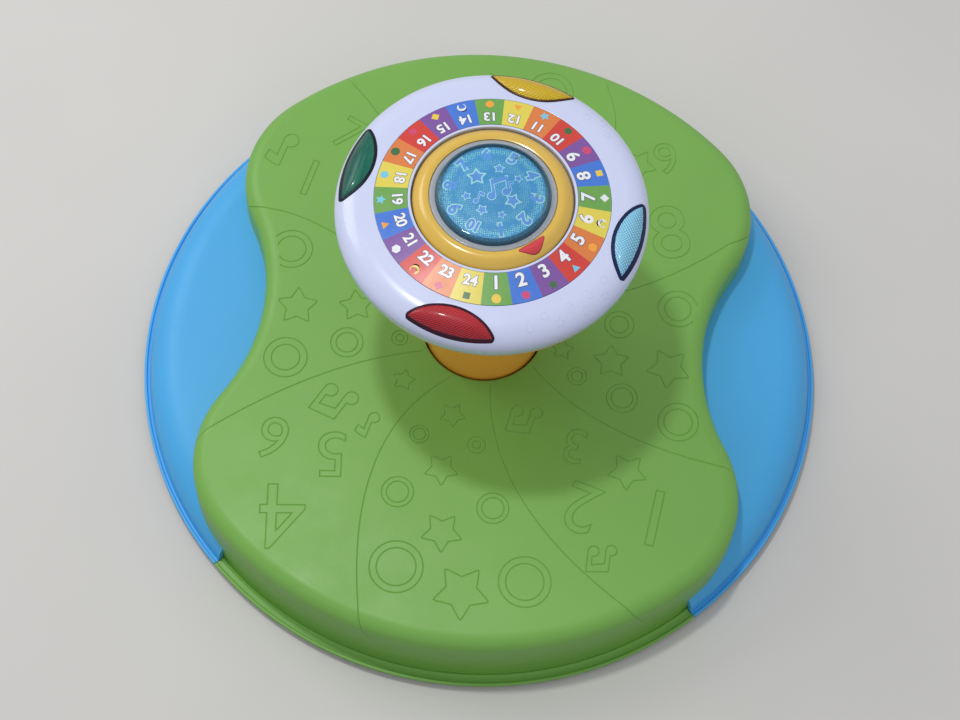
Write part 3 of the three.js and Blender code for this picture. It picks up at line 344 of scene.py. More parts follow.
def lens_plastic(name, inner, outer, rib, pitch, turn):
    """A tinted lens under a smooth face: staggered ribs, or soft streaks along it where no pitch is given."""
    made = Nodes(name)
    mapping = made.add("ShaderNodeMapping", Rotation=(0, 0, -turn - math.pi / 2))
    made.link(made.place(), mapping.inputs["Vector"])
    along = mapping.outputs["Vector"]
    split = made.add("ShaderNodeSeparateXYZ")
    made.link(along, split.inputs["Vector"])
    c = console()
    reach = made.spread(split.outputs["Y"], 1, 0, -c.lens_outer, -c.lens_inner)
    if pitch:
        bricks = {"Brick Width": 1.5 * pitch, "Row Height": 0.62 * pitch}
        gaps = {"Mortar Size": 0.19 * pitch, "Mortar Smooth": 0.6}
        brick = made.add("ShaderNodeTexBrick", Scale=1.0, **bricks, **gaps)
        made.link(along, brick.inputs["Vector"])
        pattern = brick.outputs["Fac"]
    else:
        drawn = made.add("ShaderNodeMapping", Scale=(0.09, 1, 1))
        made.link(along, drawn.inputs["Vector"])
        noise = made.add("ShaderNodeTexNoise", Scale=900.0, Detail=2.0)
        made.link(drawn.outputs["Vector"], noise.inputs["Vector"])
        pattern = made.spread(noise.outputs["Fac"], 0.0, 0.55, 0.4, 0.8)
    made.into("Base Color", made.mix(pattern, made.mix(reach, inner, outer), rib))
    made.into("Normal", made.bump(pattern, -0.05 * MM))
    looks = {"Roughness": 0.35, "Specular IOR Level": 0.25, "Coat Weight": 0.3, "Coat Roughness": 0.09}
    made.fill(made.shader, **looks)
    return made.material


# Meshes
def linked(name, data):
    made = bpy.data.objects.new(name, data)
    bpy.context.scene.collection.objects.link(made)
    return made


def smooth(mesh, sharp=30):
    mesh.polygons.foreach_set("use_smooth", np.ones(len(mesh.polygons), bool))
    mesh.set_sharp_from_angle(angle=math.radians(sharp))


def piece(name, points, faces, finishes, body, slot, replaces=(), face_finish=None, sharp=30):
    """A mesh piece that rides on a body and stands for its frame nodes."""
    mesh = bpy.data.meshes.new(name)
    mesh.from_pydata([tuple(p) for p in points], [], [tuple(f) for f in faces])
    for finish in finishes if isinstance(finishes, (list, tuple)) else [finishes]:
        mesh.materials.append(finish)
    if face_finish is not None:
        mesh.polygons.foreach_set("material_index", np.asarray(face_finish, np.int32))
    mesh.validate()
    smooth(mesh, sharp)
    made = linked(name, mesh)
    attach(made, body)
    if replaces:
        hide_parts(*replaces)
    return made


def cut_by(made, solids):
    """Subtracts closed solids from a piece and keeps the result as its mesh."""
    tools = []
    for points, faces in solids:
        mesh = bpy.data.meshes.new("tool")
        mesh.from_pydata(points, [], faces)
        tools.append(linked("tool", mesh))
        modifier = made.modifiers.new("cut", "BOOLEAN")
        modifier.operation = "DIFFERENCE"
        modifier.solver = "EXACT"
        modifier.object = tools[-1]
    shown = bpy.context.evaluated_depsgraph_get()
    mesh = bpy.data.meshes.new_from_object(made.evaluated_get(shown))
    made.modifiers.clear()
    made.data = mesh
    smooth(mesh)
    for tool in tools:
        bpy.data.objects.remove(tool)


def welded(parts, distance=0.002 * MM):
    """Parts of points, faces and perhaps a finish index as one of each, with points that meet joined."""
    points, faces, marks = [], [], []
    for part in parts:
        start = len(points)
        points.extend(map(tuple, part[0]))
        faces.extend([[start + i for i in face] for face in part[1]])
        marks.extend([part[2] if len(part) > 2 else 0] * len(part[1]))
    if not distance:
        return points, faces, marks
    build = bmesh.new()
    made = [build.verts.new(p) for p in points]
    for face, mark in zip(faces, marks):
        build.faces.new([made[i] for i in face]).material_index = mark
    bmesh.ops.remove_doubles(build, verts=build.verts, dist=distance)
    build.verts.index_update()
    points = [tuple(v.co) for v in build.verts]
    faces = [[v.index for v in f.verts] for f in build.faces]
    marks = [f.material_index for f in build.faces]
    build.free()
    return points, faces, marks


def polar(radius, angle):
    return radius * math.cos(angle), radius * math.sin(angle)


def box_middle(name):
    """The middle of a frame piece's box."""
    return [(low + high) / 2 for low, high in zip(*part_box(name))]


def towards(start, end, distance):
    """The point at a distance from start on the way to end."""
    return start + (end - start) / np.linalg.norm(end - start) * distance


def curve(start, corner, end, steps):
    """Points of a curve that leaves start towards a corner and turns there to end."""
    start, corner, end = (np.array(p, float) for p in (start, corner, end))
    shares = np.linspace(0, 1, steps + 1)
    return [tuple((1 - t) ** 2 * start + 2 * t * (1 - t) * corner + t * t * end) for t in shares]


def filleted(corners):
    """A closed outline of radius and height, where a corner's third number is its rounding."""
    rounded = []
    for i, corner in enumerate(corners):
        if len(corner) < 3:
            rounded.append(tuple(corner))
            continue
        around = (corner, corners[i - 1], corners[(i + 1) % len(corners)])
        here, before, after = (np.array(c[:2]) for c in around)
        back, ahead = before - here, after - here
        back_length, ahead_length = np.linalg.norm(back), np.linalg.norm(ahead)
        angle = math.acos(np.clip(back @ ahead / (back_length * ahead_length), -1, 1))
        cut = min(corner[2] / math.tan(angle / 2), 0.48 * back_length, 0.48 * ahead_length)
        rounded += curve(towards(here, before, cut), here, towards(here, after, cut), 4)
    return rounded


def band(low, high, count):
    """Quads between two closed rows of points, given the indices at which the rows start."""
    return [[low + i, low + (i + 1) % count, high + (i + 1) % count, high + i] for i in range(count)]


def swept(rows, count, skip=(), ends=False):
    """Quads along closed rows of points, without the skipped edges of a row, and a face at either end."""
    faces = []
    for i in range(rows - 1):
        for j in range(count):
            k = (j + 1) % count
            if (j, k) not in skip:
                faces.append([i * count + j, (i + 1) * count + j, (i + 1) * count + k, i * count + k])
    if ends:
        faces.append(list(range(count)))
        faces.append([(rows - 1) * count + j for j in reversed(range(count))])
    return faces


def strip(profile, angles, skip=(), ends=False):
    """An outline of radius and height turned about Z through the angles."""
    points = [(*polar(radius, angle), height) for angle in angles for radius, height in profile]
    return points, swept(len(angles), len(profile), skip, ends)


def sector(profile, start, end, steps):
    """An outline turned about Z from one angle to another, with its ends closed."""
    return strip(profile, np.linspace(start, end, steps + 1), ends=True)


def lathe(profile, steps, closed=True):
    """Points and faces of an outline turned about Z. The outline runs anticlockwise in radius and height."""
    points, rings, faces = [], [], []
    for radius, height in profile:
        places = steps if radius else 1
        rings.append(range(len(points), len(points) + places))
        points += [(*polar(radius, 2 * math.pi * i / steps), height) for i in range(places)]
    pairs = zip(rings, rings[1:] + rings[:1]) if closed else zip(rings, rings[1:])
    for low, high in pairs:
        if len(low) == 1 and len(high) == 1:
            continue
        for i in range(steps):
            j = (i + 1) % steps
            corners = [low[i % len(low)], low[j % len(low)], high[j % len(high)], high[i % len(high)]]
            faces.append(list(dict.fromkeys(corners)))
    return points, faces


def prism(outline, low, high):
    """A plan outline raised between two heights."""
    count = len(outline)
    points = [(x, y, level) for level in (low, high) for x, y in outline]
    faces = band(0, count, count)
    faces.append(list(reversed(range(count))))
    faces.append([count + i for i in range(count)])
    return points, faces


def quarter(centre, level, reach, rise, steps):
    """Points of a quarter ellipse from above its centre to its steep end."""
    angles = np.linspace(0, math.pi / 2, steps + 1)
    return [(centre + reach * math.sin(a), level + rise * math.cos(a)) for a in angles]


def arc(x, y, radius, start, end, steps):
    return [(x + radius * math.cos(a), y + radius * math.sin(a)) for a in np.linspace(start, end, steps + 1)]


def circle(x, y, radius, steps):
    return arc(x, y, radius, 0, 2 * math.pi, steps)[:-1]


def rectangle(left, right, low, high):
    return [(left, low), (right, low), (right, high), (left, high)]


def moved(points, x, y):
    return [(px + x, py + y, pz) for px, py, pz in points]


def placed(outline, x, y, turn=0.0, size=1.0):
    cos, sin = math.cos(turn) * size, math.sin(turn) * size
    return [(x + cos * u - sin * v, y + sin * u + cos * v) for u, v in outline]


def inside_line(x, y, line):
    """Whether a point lies inside a closed line."""
    after = np.roll(line, -1, 0)
    crosses = (line[:, 1] > y) != (after[:, 1] > y)
    run = (after[:, 0] - line[:, 0]) * (y - line[:, 1])
    with np.errstate(divide="ignore", invalid="ignore"):
        at = run / (after[:, 1] - line[:, 1]) + line[:, 0]
    return bool((crosses & (x < at)).sum() % 2)


def filled(loops, spacing):
    """Points and triangles over closed lines that lie inside each other, with an even grid in the last."""
    inner = loops[-1]
    low, high = inner.min(0), inner.max(0)
    grid = [
        (x, y) for x in np.arange(low[0], high[0], spacing) for y in np.arange(low[1], high[1], spacing)
        if inside_line(x, y, inner) and np.linalg.norm(inner - (x, y), axis=1).min() > 0.45 * spacing
    ]
    edges, start = [], 0
    for loop in loops:
        edges += [(start + i, start + (i + 1) % len(loop)) for i in range(len(loop))]
        start += len(loop)
    plan = np.concatenate([*loops, grid])
    spots, _, triangles, *_ = delaunay_2d_cdt([Vector(p) / MM for p in plan], edges, [], 1, 1e-5, False)
    return np.array([tuple(p) for p in spots]) * MM, [list(t) for t in triangles]


# Seat
def seat_line(along):
    """The seat's wall line in plan at shares of its length from the right waist, with outward directions."""
    s = seat()
    waist_centre = s.waist_half_width + s.waist_radius
    to_waist = s.waist_radius + s.lobe_radius
    to_axis = s.end_radius - s.lobe_radius
    lobe_x = (to_axis**2 - to_waist**2 + waist_centre**2) / (2 * waist_centre)
    lobe_y = math.sqrt(to_axis**2 - lobe_x**2)
    waist_sweep = math.atan2(lobe_y, waist_centre - lobe_x)
    end_start = math.atan2(lobe_y, lobe_x)
    lengths = (
        s.waist_radius * waist_sweep,
        s.lobe_radius * (waist_sweep + end_start),
        s.end_radius * (math.pi / 2 - end_start),
    )
    whole = sum(lengths)
    places, outward = [], []
    for share in along:
        quadrant = int(share * 4) % 4
        run = (share * 4) % 1
        mirrored = quadrant % 2 == 1
        reach = whole * (1 - run if mirrored else run)
        if reach < lengths[0]:
            turn = reach / s.waist_radius
            x, y = waist_centre - s.waist_radius * math.cos(turn), s.waist_radius * math.sin(turn)
            nx, ny = math.cos(turn), -math.sin(turn)
        elif reach < lengths[0] + lengths[1]:
            turn = (reach - lengths[0]) / s.lobe_radius - waist_sweep
            nx, ny = math.cos(turn), math.sin(turn)
            x, y = lobe_x + s.lobe_radius * nx, lobe_y + s.lobe_radius * ny
        else:
            turn = end_start + (reach - lengths[0] - lengths[1]) / s.end_radius
            nx, ny = math.cos(turn), math.sin(turn)
            x, y = s.end_radius * nx, s.end_radius * ny
        flip_x = -1 if quadrant in (1, 2) else 1
        flip_y = -1 if quadrant in (2, 3) else 1
        places.append((x * flip_x, y * flip_y))
        outward.append((nx * flip_x, ny * flip_y))
    return np.array(places), np.array(outward), 4 * whole


# What is engraved on the seat. Places are millimetres from the axis, as they lie on the top.
# A swirl is three places on a curve. The rows of the rest: a star's place, size and turn, a ring's place and
# two radii, a note's place, size, turn and whether it is beamed, a figure's number, place, size and turn.
SWIRLS = [
    ((-21, -45), (-72, -124), (-67, -250)),
    ((9, -48), (44, -146), (145, -230)),
    ((40, -32), (103, -77), (192, -101)),
    ((-42, -25), (-117, -51), (-194, -101)),
    ((-46, 14), (-130, 74), (-198, 84)),
    ((-22, 42), (-76, 150), (-128, 214)),
    ((18, 46), (88, 150), (76, 236)),
    ((44, 22), (120, 44), (192, 92)),
]
STARS = [
    (-140, 4, 16, 92), (-96, 8, 13.5, 100), (-55, -50, 9, 80), (-17, -75, 10, -82), (-22, -118, 13, -86),
    (-18, -166, 15.5, -88), (-1, -209, 21, -88), (60, -15, 9, -60), (97, -22, 14, 92), (140, -24, 17, -95),
    (112, -109, 15, -92), (58, 96, 13, 70), (112, 150, 15, 60), (30, 150, 17, 85), (-8, 205, 21, 90),
    (-60, 110, 13, 60),
]
RINGS = [
    (-150, 52, 16, 11), (-144, -39, 16, 10.5), (-100, -23, 12, 8), (-61, -16, 6, 3), (-52, -138, 11.5, 8),
    (-48, -194, 19, 14), (17, -145, 11.5, 8), (43, -198, 18.5, 13.5), (-40, -92, 7, 4.5), (2, -97, 6.5, 3),
    (102, 9, 11, 7), (146, 26, 15, 10), (72, -36, 7, 4), (106, -51, 11.5, 8), (148, -67, 15, 10.5),
    (40, 212, 18, 13), (-40, 172, 12, 8), (8, 108, 11, 7),
]
NOTES = [
    (-161, 148, 2.2, 165, False), (-92, -68, 1.9, 150, True), (-74, -82, 1.5, 165, False),
    (44, -68, 1.6, 168, True), (103, -170, 1.45, 176, True), (-96, 92, 1.6, 20, True),
    (86, 96, 1.5, 10, False),
]
FIGURES = [
    ("4", -132, -163, 70, 184), ("5", -102, -113, 50, 184), ("6", -146, -104, 47, 168),
    ("1", 133, -143, 62, 170), ("2", 80, -140, 54, 162), ("3", 73, -92, 39, 170),
    ("8", 138, 92, 66, 12), ("7", -116, 158, 42, -28), ("1", -143, 116, 46, -14), ("9", 134, 158, 40, 14),
]


def star(size, inner_share=0.54):
    """A star with blunt tips, its first tip along X."""
    soft = 0.16
    corners = [
        np.array(polar(1, math.pi * i / 5)) * size * (inner_share if i % 2 else 1) for i in range(10)
    ]
    points = []
    for i, corner in enumerate(corners):
        if i % 2:
            points.append(tuple(corner))
            continue
        before, after = corners[i - 1], corners[(i + 1) % 10]
        points += curve(corner + (before - corner) * soft, corner, corner + (after - corner) * soft, 2)
    return points


def note(beamed):
    """The fat outline of a note, or of two joined by a beam, about 14 mm high."""
    head, stem, top = 2.7, 2.3, 11.0
    sweep = math.acos((head - stem) / head) - 2 * math.pi
    left = arc(0, 0, head, 0, sweep, 14) + [(head - stem, top)]
    if not beamed:
        return left + [(head, top), (head + 3.8, top - 1.4), (head + 3.4, top - 5.0), (head, top - 3.8)]
    gap, rise, beam = 8.6, 1.6, top - 3.9
    right = arc(gap, rise, head, 0, sweep, 14) + [(gap + head - stem, beam + rise), (head, beam)]
    return left + [(gap + head, top + rise)] + right


def written(text, **settings):
    """Points, edges and faces of a number in the built-in font."""
    data = bpy.data.curves.new("figure", "FONT")
    data.body = text
    data.align_x, data.align_y = "CENTER", "CENTER"
    for key, value in settings.items():
        setattr(data, key, value)
    made = linked("figure", data)
    shown = made.evaluated_get(bpy.context.evaluated_depsgraph_get())
    mesh = shown.to_mesh()
    points = [(v.co.x, v.co.y) for v in mesh.vertices]
    edges = [tuple(e.vertices) for e in mesh.edges]
    faces = [list(f.vertices) for f in mesh.polygons]
    shown.to_mesh_clear()
    bpy.data.objects.remove(made)
    bpy.data.curves.remove(data)
    return points, edges, faces


def figure_outlines(text, size):
    """The outlines of a number as closed lines round its middle."""
    points, edges, _ = written(text, size=size, offset=size * 0.055, resolution_u=4, fill_mode="NONE")
    beside = {}
    for a, b in edges:
        beside.setdefault(a, []).append(b)
        beside.setdefault(b, []).append(a)
    loops, seen = [], set()
    for first in range(len(points)):
        loop, here = [], None if first in seen else first
        while here is not None:
            seen.add(here)
            loop.append(points[here])
            here = next((n for n in beside.get(here, []) if n not in seen), None)
        if len(loop) > 2:
            loops.append(loop)
    every = np.concatenate(loops)
    x, y = (every.max(0) + every.min(0)) / 2
    return [[(u - x, v - y) for u, v in loop] for loop in loops]


def offset_line(points, distance, closed):
    """A line beside another one, with mitred corners."""
    line = np.array(points, float)
    ahead = np.roll(line, -1, 0) - line
    if not closed:
        ahead[-1] = ahead[-2]
    ahead /= np.linalg.norm(ahead, axis=1)[:, None]
    back = np.roll(ahead, 1, 0)
    if not closed:
        back[0] = ahead[0]
    across = np.stack([-(ahead + back)[:, 1], (ahead + back)[:, 0]], 1)
    across /= np.linalg.norm(across, axis=1)[:, None]
    cosine = np.clip(np.einsum("ij,ij->i", across, np.stack([-ahead[:, 1], ahead[:, 0]], 1)), 0.45, 1)
    return line + across * (distance / cosine)[:, None]


def swirl_line(*places):
    """A curve through three places of the top, in metres."""
    start, middle, end = (np.array(p, float) for p in places)
    corner = 2 * middle - (start + end) / 2
    return np.array(placed(curve(start, corner, end, 60), 0, 0, VIEW_TURN, MM))


def engraving():
    """Closed lines engraved on the top, in metres."""
    lines = [placed(star(size), x, y, math.radians(turn)) for x, y, size, turn in STARS]
    for x, y, outer, inner in RINGS:
        lines += [circle(x, y, outer, 40), circle(x, y, inner, 32)]
    for x, y, size, turn, beamed in NOTES:
        lines.append(placed(note(beamed), x, y, math.radians(turn), size))
    for text, x, y, size, turn in FIGURES:
        lines += [placed(loop, x, y, math.radians(turn)) for loop in figure_outlines(text, size)]
    return [placed(line, 0, 0, VIEW_TURN, MM) for line in lines]


def swirl_ends(edge, shares):
    """The swirls on the flat top, with the share of its edge where each ends and its slant there."""
    from_edge, from_hole, steepest = 2 * MM, 5 * MM, 1.2
    azimuths = np.unwrap(np.arctan2(edge[:, 1], edge[:, 0]))
    swirls, crossings, slants = [], [], []
    for swirl in SWIRLS:
        line = swirl_line(*swirl)
        bearing = np.arctan2(line[:, 1], line[:, 0])
        reach = np.linalg.norm(line, axis=1)
        limit = np.interp(np.mod(bearing, 2 * math.pi), azimuths, np.linalg.norm(edge, axis=1))
        past = ~(reach < limit - from_edge)
        outside = np.argmax(past) if past.any() else len(line)
        bearing_at_edge = np.mod(bearing[min(outside, len(line) - 1)], 2 * math.pi)
        crossings.append(float(np.interp(bearing_at_edge, azimuths, shares)))
        _, (normal,), _ = seat_line(crossings[-1:])
        course = line[outside - 1] - line[outside - 3]
        along = course @ np.array((-normal[1], normal[0]))
        slants.append(float(np.clip(along / (course @ normal), -steepest, steepest)))
        start = np.argmax(reach > seat().hole_radius + from_hole)
        swirls.append(line[start:outside])
    return swirls, crossings, slants


class SeatWall:
    """The seat's wall line at its stations, with a groove where a swirl runs on over it."""

    samples = 4000
    even_stations = 320
    eased_length = 75 * MM

    def __init__(self):
        s = seat()
        dense = np.linspace(0, 1, self.samples + 1)[:-1]
        places, outward, self.around = seat_line(dense)
        self.swirls, self.crossings, self.slants = swirl_ends(places - outward * s.shoulder, dense)
        step = s.groove_width / 2 / self.around
        even = np.linspace(0, 1, self.even_stations + 1)[:-1]
        room = 2.5 * step
        plain = {a for a in even if all(abs(a - c) > room for c in self.crossings)}
        beside = {c + side * step for c in self.crossings for side in (-1, 0, 1)}
        self.stations = np.array(sorted(plain | beside))
        self.grooved = np.array([any(abs(a - c) < step / 4 for c in self.crossings) for a in self.stations])
        self.count = len(self.stations)
        self.places, self.outward = self.shifted(0.0)
        bearing = np.arctan2(self.places[:, 1], self.places[:, 0])
        self.spokes = np.stack([np.cos(bearing), np.sin(bearing)], 1)

    def shifted(self, run):
        """The wall line, its stations moved along it near each swirl, for a run past the flat top."""
        eased = self.eased_length / self.around
        stations = self.stations.copy()
        for crossing, slant in zip(self.crossings, self.slants):
            away = np.abs(self.stations - crossing)
            away = np.minimum(away, 1 - away)
            ease = 0.5 + 0.5 * np.cos(math.pi * np.clip(away / eased, 0, 1))
            stations = stations + slant * run / self.around * ease
        places, outward, _ = seat_line(np.mod(stations, 1))
        return places, outward

    def ring(self, offset, height, lean=0.0, lift=1.0, line=None, fade=1.0):
        """A row of points beside the wall line. Its groove goes in by the share lean and down by lift."""
        places, outward = line or (self.places, self.outward)
        depth = np.where(self.grooved, seat().groove_depth * fade, 0.0)
        plan = places + outward * (np.broadcast_to(offset, self.count) - depth * lean)[:, None]
        return np.column_stack([plan, np.broadcast_to(height, self.count) - depth * lift])

    def hole_ring(self, radius, height):
        return np.column_stack([self.spokes * radius, np.full(self.count, height)])


def seat_rings(wall):
    """Rows of points from the flat top's edge over the shoulder to the foot, and back inside to the hole."""
    s, r = seat(), rim()
    level = s.top - s.shoulder
    rings = [wall.ring(-s.shoulder, s.top)]
    for angle in np.linspace(0, math.pi / 2, 11)[1:]:
        lean, lift = math.sin(angle), math.cos(angle)
        line = wall.shifted(s.shoulder * angle)
        rings.append(wall.ring(s.shoulder * (lean - 1), level + s.shoulder * lift, lean, lift, line))
    # The wall's foot stands over the footrests at the sides and in the rim's flange at the front and back.
    gap, overlap, fillet_ease = 0.25 * MM, 0.5 * MM, math.radians(1.5)
    over_shoulder, drop = s.shoulder * math.pi / 2, level - r.channel_top
    wall_line = wall.shifted(over_shoulder + drop * 0.3)
    distance = np.linalg.norm(wall_line[0], axis=1)
    fall = np.clip((distance - r.flat_radius) / (r.foot_radius - r.flat_radius), 0, 1)
    footrest = r.channel_top + (r.footrest_top - r.channel_top) * np.sqrt(1 - fall**2) + gap
    aside = np.arctan2(np.abs(wall_line[0][:, 1]), np.abs(wall_line[0][:, 0]))
    foot = np.where(aside < r.junction, footrest, r.channel_top - overlap)
    fillet = s.foot_fillet * np.clip((aside - r.junction) / fillet_ease, 0.02, 1)
    for share in (0.12, 0.25, 0.38, 0.5, 0.75, 0.88):
        height = level + (foot + fillet - level) * share
        line = wall.shifted(over_shoulder + drop * share * 0.6) if share < 0.5 else wall_line
        offset, fade = s.draft * (level - height) / drop, max(1 - 2 * share, 0)
        rings.append(wall.ring(offset, height, 1.0, 0.0, line, fade))
    lean_at_foot = s.draft * (level - foot) / drop
    for angle in np.linspace(0, math.pi / 2, 7):
        out, up = 1 - math.cos(angle), 1 - math.sin(angle)
        rings.append(wall.ring(lean_at_foot + fillet * out, foot + fillet * up, 1.0, 0.0, wall_line, 0.0))
    inside = [(lean_at_foot - s.wall, foot), (-s.wall, level)]
    for angle in np.linspace(math.pi / 2, 0, 6)[1:]:
        out, up = polar(s.shoulder - s.wall, math.pi / 2 - angle)
        inside.append((out - s.shoulder, level + up))
    rings += [wall.ring(offset, height, 0.0, 0.0, wall_line) for offset, height in inside]
    collar, collar_depth = s.hole_radius + s.wall, 3 * s.wall
    hole = (
        (collar, s.wall), (collar, collar_depth), (s.hole_radius, collar_depth), (s.hole_radius, HOLE_LIP),
        (s.hole_radius + HOLE_LIP * 0.3, HOLE_LIP * 0.3), (s.hole_radius + HOLE_LIP, 0),
    )
    return rings + [wall.hole_ring(radius, s.top - depth) for radius, depth in hole]


def from_lines(spots, lines, reach):
    """Each place's distance from the nearest of the lines, as far as they reach."""
    nearest = np.full(len(spots), 1.0)
    for line, closed in lines:
        begin = line if closed else line[:-1]
        run = (np.roll(line, -1, 0) if closed else line[1:]) - begin
        near = np.nonzero(((spots > line.min(0) - reach) & (spots < line.max(0) + reach)).all(1))[0]
        to = spots[near][:, None, :] - begin[None]
        share = np.clip(np.einsum("ijk,jk->ij", to, run) / np.einsum("jk,jk->j", run, run), 0, 1)
        away = np.linalg.norm(to - share[..., None] * run[None], axis=2).min(1)
        nearest[near] = np.minimum(nearest[near], away)
    return nearest


def engraved_top(wall, outer, inner):
    """The flat top between shoulder and hole, triangulated round the engraved lines."""
    s = seat()
    half, shallowest = s.groove_width / 2, 0.12 * s.groove_depth
    coords, edges, lines = [], [], []

    def add_line(line, closed=True):
        start = len(coords)
        coords.extend(tuple(p) for p in line)
        edges.extend((start + i, start + i + 1) for i in range(len(line) - 1))
        if closed:
            edges.append((start + len(line) - 1, start))

    for line in (outer, outer - wall.outward * 1 * MM, inner, inner + wall.spokes * 1 * MM):
        add_line(line)
    for line in engraving():
        for side in (-half, 0, half):
            add_line(offset_line(line, side, True))
        lines.append((np.array(line), True))
    station_at = {round(share, 9): i for i, share in enumerate(wall.stations)}
    for line, crossing in zip(wall.swirls, wall.crossings):
        middle = station_at[round(crossing, 9)]
        start, stride = len(coords), len(line) + 1
        for side in (-1, 0, 1):
            add_line([*offset_line(line, side * half, False), outer[middle + side]], False)
        edges.extend([(start, start + stride), (start + stride, start + 2 * stride)])
        lines.append((np.array([*line, outer[middle]]), False))
    scaled = [Vector((x / MM, y / MM)) for x, y in coords]
    flat, _, triangles, *_ = delaunay_2d_cdt(scaled, edges, [], 0, 1e-4, False)
    flat = np.array([tuple(p) for p in flat]) * MM
    sunk = s.groove_depth * np.clip(1 - from_lines(flat, lines, half) / half, 0, 1)
    sunk[sunk < shallowest] = 0
    middles = flat[np.array([list(t) for t in triangles])].mean(1)
    bearing = np.mod(np.arctan2(middles[:, 1], middles[:, 0]), 2 * math.pi)
    edge_bearing = np.unwrap(np.arctan2(outer[:, 1], outer[:, 0]))
    limit = np.interp(bearing, edge_bearing, np.linalg.norm(outer, axis=1), period=2 * math.pi)
    reach = np.linalg.norm(middles, axis=1)
    inside = (reach < limit) & (reach > s.hole_radius + HOLE_LIP)
    return np.column_stack([flat, s.top - sunk]), [list(t) for t, keep in zip(triangles, inside) if keep]


def bead():
    """The rim's edge in radius and height, from its underside over the bead to the channel."""
    r = rim()
    crest = r.channel_top + r.bead_height
    return [
        (r.radius, r.clearance, 0.6 * MM), (r.radius, crest, 0.9 * MM),
        (r.radius - r.bead_width, crest, 0.9 * MM), (r.radius - r.bead_width, r.channel_top, 0.4 * MM),
    ]


def seat_mesh():
    """The seat's shell and top, and the rim's flange in front and behind."""
    r, wall = rim(), SeatWall()
    rings = seat_rings(wall)
    shell = [
        face for k in range(len(rings) - 1) for face in band((k + 1) * wall.count, k * wall.count, wall.count)
    ]
    top = engraved_top(wall, rings[0][:, :2], rings[-1][:, :2])
    flange = filleted([
        (r.foot_radius - 6 * MM, r.clearance), *bead(), (r.foot_radius - 1.5 * MM, r.channel_top, 1.2 * MM),
        (r.foot_radius - 3 * MM, r.channel_top + 1.6 * MM), (r.foot_radius - 6 * MM, r.channel_top),
    ])
    reach = math.pi / 2 - r.junction - SEAM / r.radius
    flanges = [sector(flange, middle - reach, middle + reach, 72) for middle in (math.pi / 2, -math.pi / 2)]
    return welded([(np.concatenate(rings), shell), top, *flanges])


class TOY_OT_seat(bpy.types.Operator):
    """Build the engraved green seat"""

    bl_idname = "toy.seat"
    bl_label = "Seat"

    def execute(self, context):
        finish = moulded("green_satin_plastic", colours().green, 0.42, 0.02 * MM, 0.03)
        points, faces, _ = seat_mesh()
        piece("seat", points, faces, finish, "turntable", "green_plastic", ["seat_shell"])
        return {"FINISHED"}


# Footrests
def footrest_mesh():
    """The platform with its hub, the two footrests with their part of the rim, and the axles' blocks."""
    r = rim()
    low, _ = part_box("footrest_platform")
    hub_inner, hub_outer = 25.6 * MM, 29.6 * MM
    under = r.footrest_top - r.wall
    span = r.foot_radius - r.flat_radius
    rise = r.footrest_top - r.channel_top
    hub_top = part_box("hub_bushing")[1].z
    inner = [
        (hub_inner, low.z), (hub_outer, low.z), (hub_outer, under), (r.inner_radius, under),
        (r.inner_radius, r.footrest_top), (hub_outer, r.footrest_top), (hub_outer, hub_top),
        (hub_inner, hub_top),
    ]
    below = [(x, z - r.wall) for x, z in quarter(r.flat_radius, r.channel_top, span - r.wall, rise, 8)][:-1]
    outer = filleted([
        (r.inner_radius, under), *below, (r.foot_radius - r.wall, r.clearance), *bead(),
        (r.foot_radius + 0.4 * MM, r.channel_top, 0.5 * MM),
        *quarter(r.flat_radius, r.channel_top, span, rise, 18)[:-1][::-1], (r.inner_radius, r.footrest_top),
    ])
    reach = r.junction - SEAM / r.radius
    parts = []
    for side in (0, math.pi):
        angles = np.linspace(side - reach, side + reach, 97)
        parts.append(strip(inner, angles, [(3, 4)]))
        parts.append(strip(outer, angles, [(len(outer) - 1, 0)], True))
    for start, end in ((reach, math.pi - reach), (math.pi + reach, 2 * math.pi - reach)):
        parts.append(strip(inner, np.linspace(start, end, 49)))
    level = box_middle("roller_axle_1")[2]
    for angle in ROLLER_ANGLES:
        for near, far in ((6.5 * MM, 10.5 * MM), (-10.5 * MM, -6.5 * MM)):
            plan = rectangle(TRACK_RADIUS + near, TRACK_RADIUS + far, -7 * MM, 7 * MM)
            parts.append(prism(placed(plan, 0, 0, angle), level - 6 * MM, under + 0.2 * MM))
    return welded(parts)


class TOY_OT_footrests(bpy.types.Operator):
    """Build the blue platform with its two footrests"""

    bl_idname = "toy.footrests"
    bl_label = "Footrests"

    def execute(self, context):
        finish = moulded("blue_satin_plastic", colours().blue, 0.42, 0.02 * MM, 0.03)
        points, faces, _ = footrest_mesh()
        piece("footrests", points, faces, finish, "turntable", "blue_plastic", ["footrest_platform"])
        return {"FINISHED"}


# Column and console shells
def smooth_step(start, end, count):
    """Shares from 0 to 1 that start and end gently, with their even places."""
    shares = np.linspace(0, 1, count + 1)
    return [(t, start + (end - start) * (1 - math.cos(math.pi * t)) / 2) for t in shares]


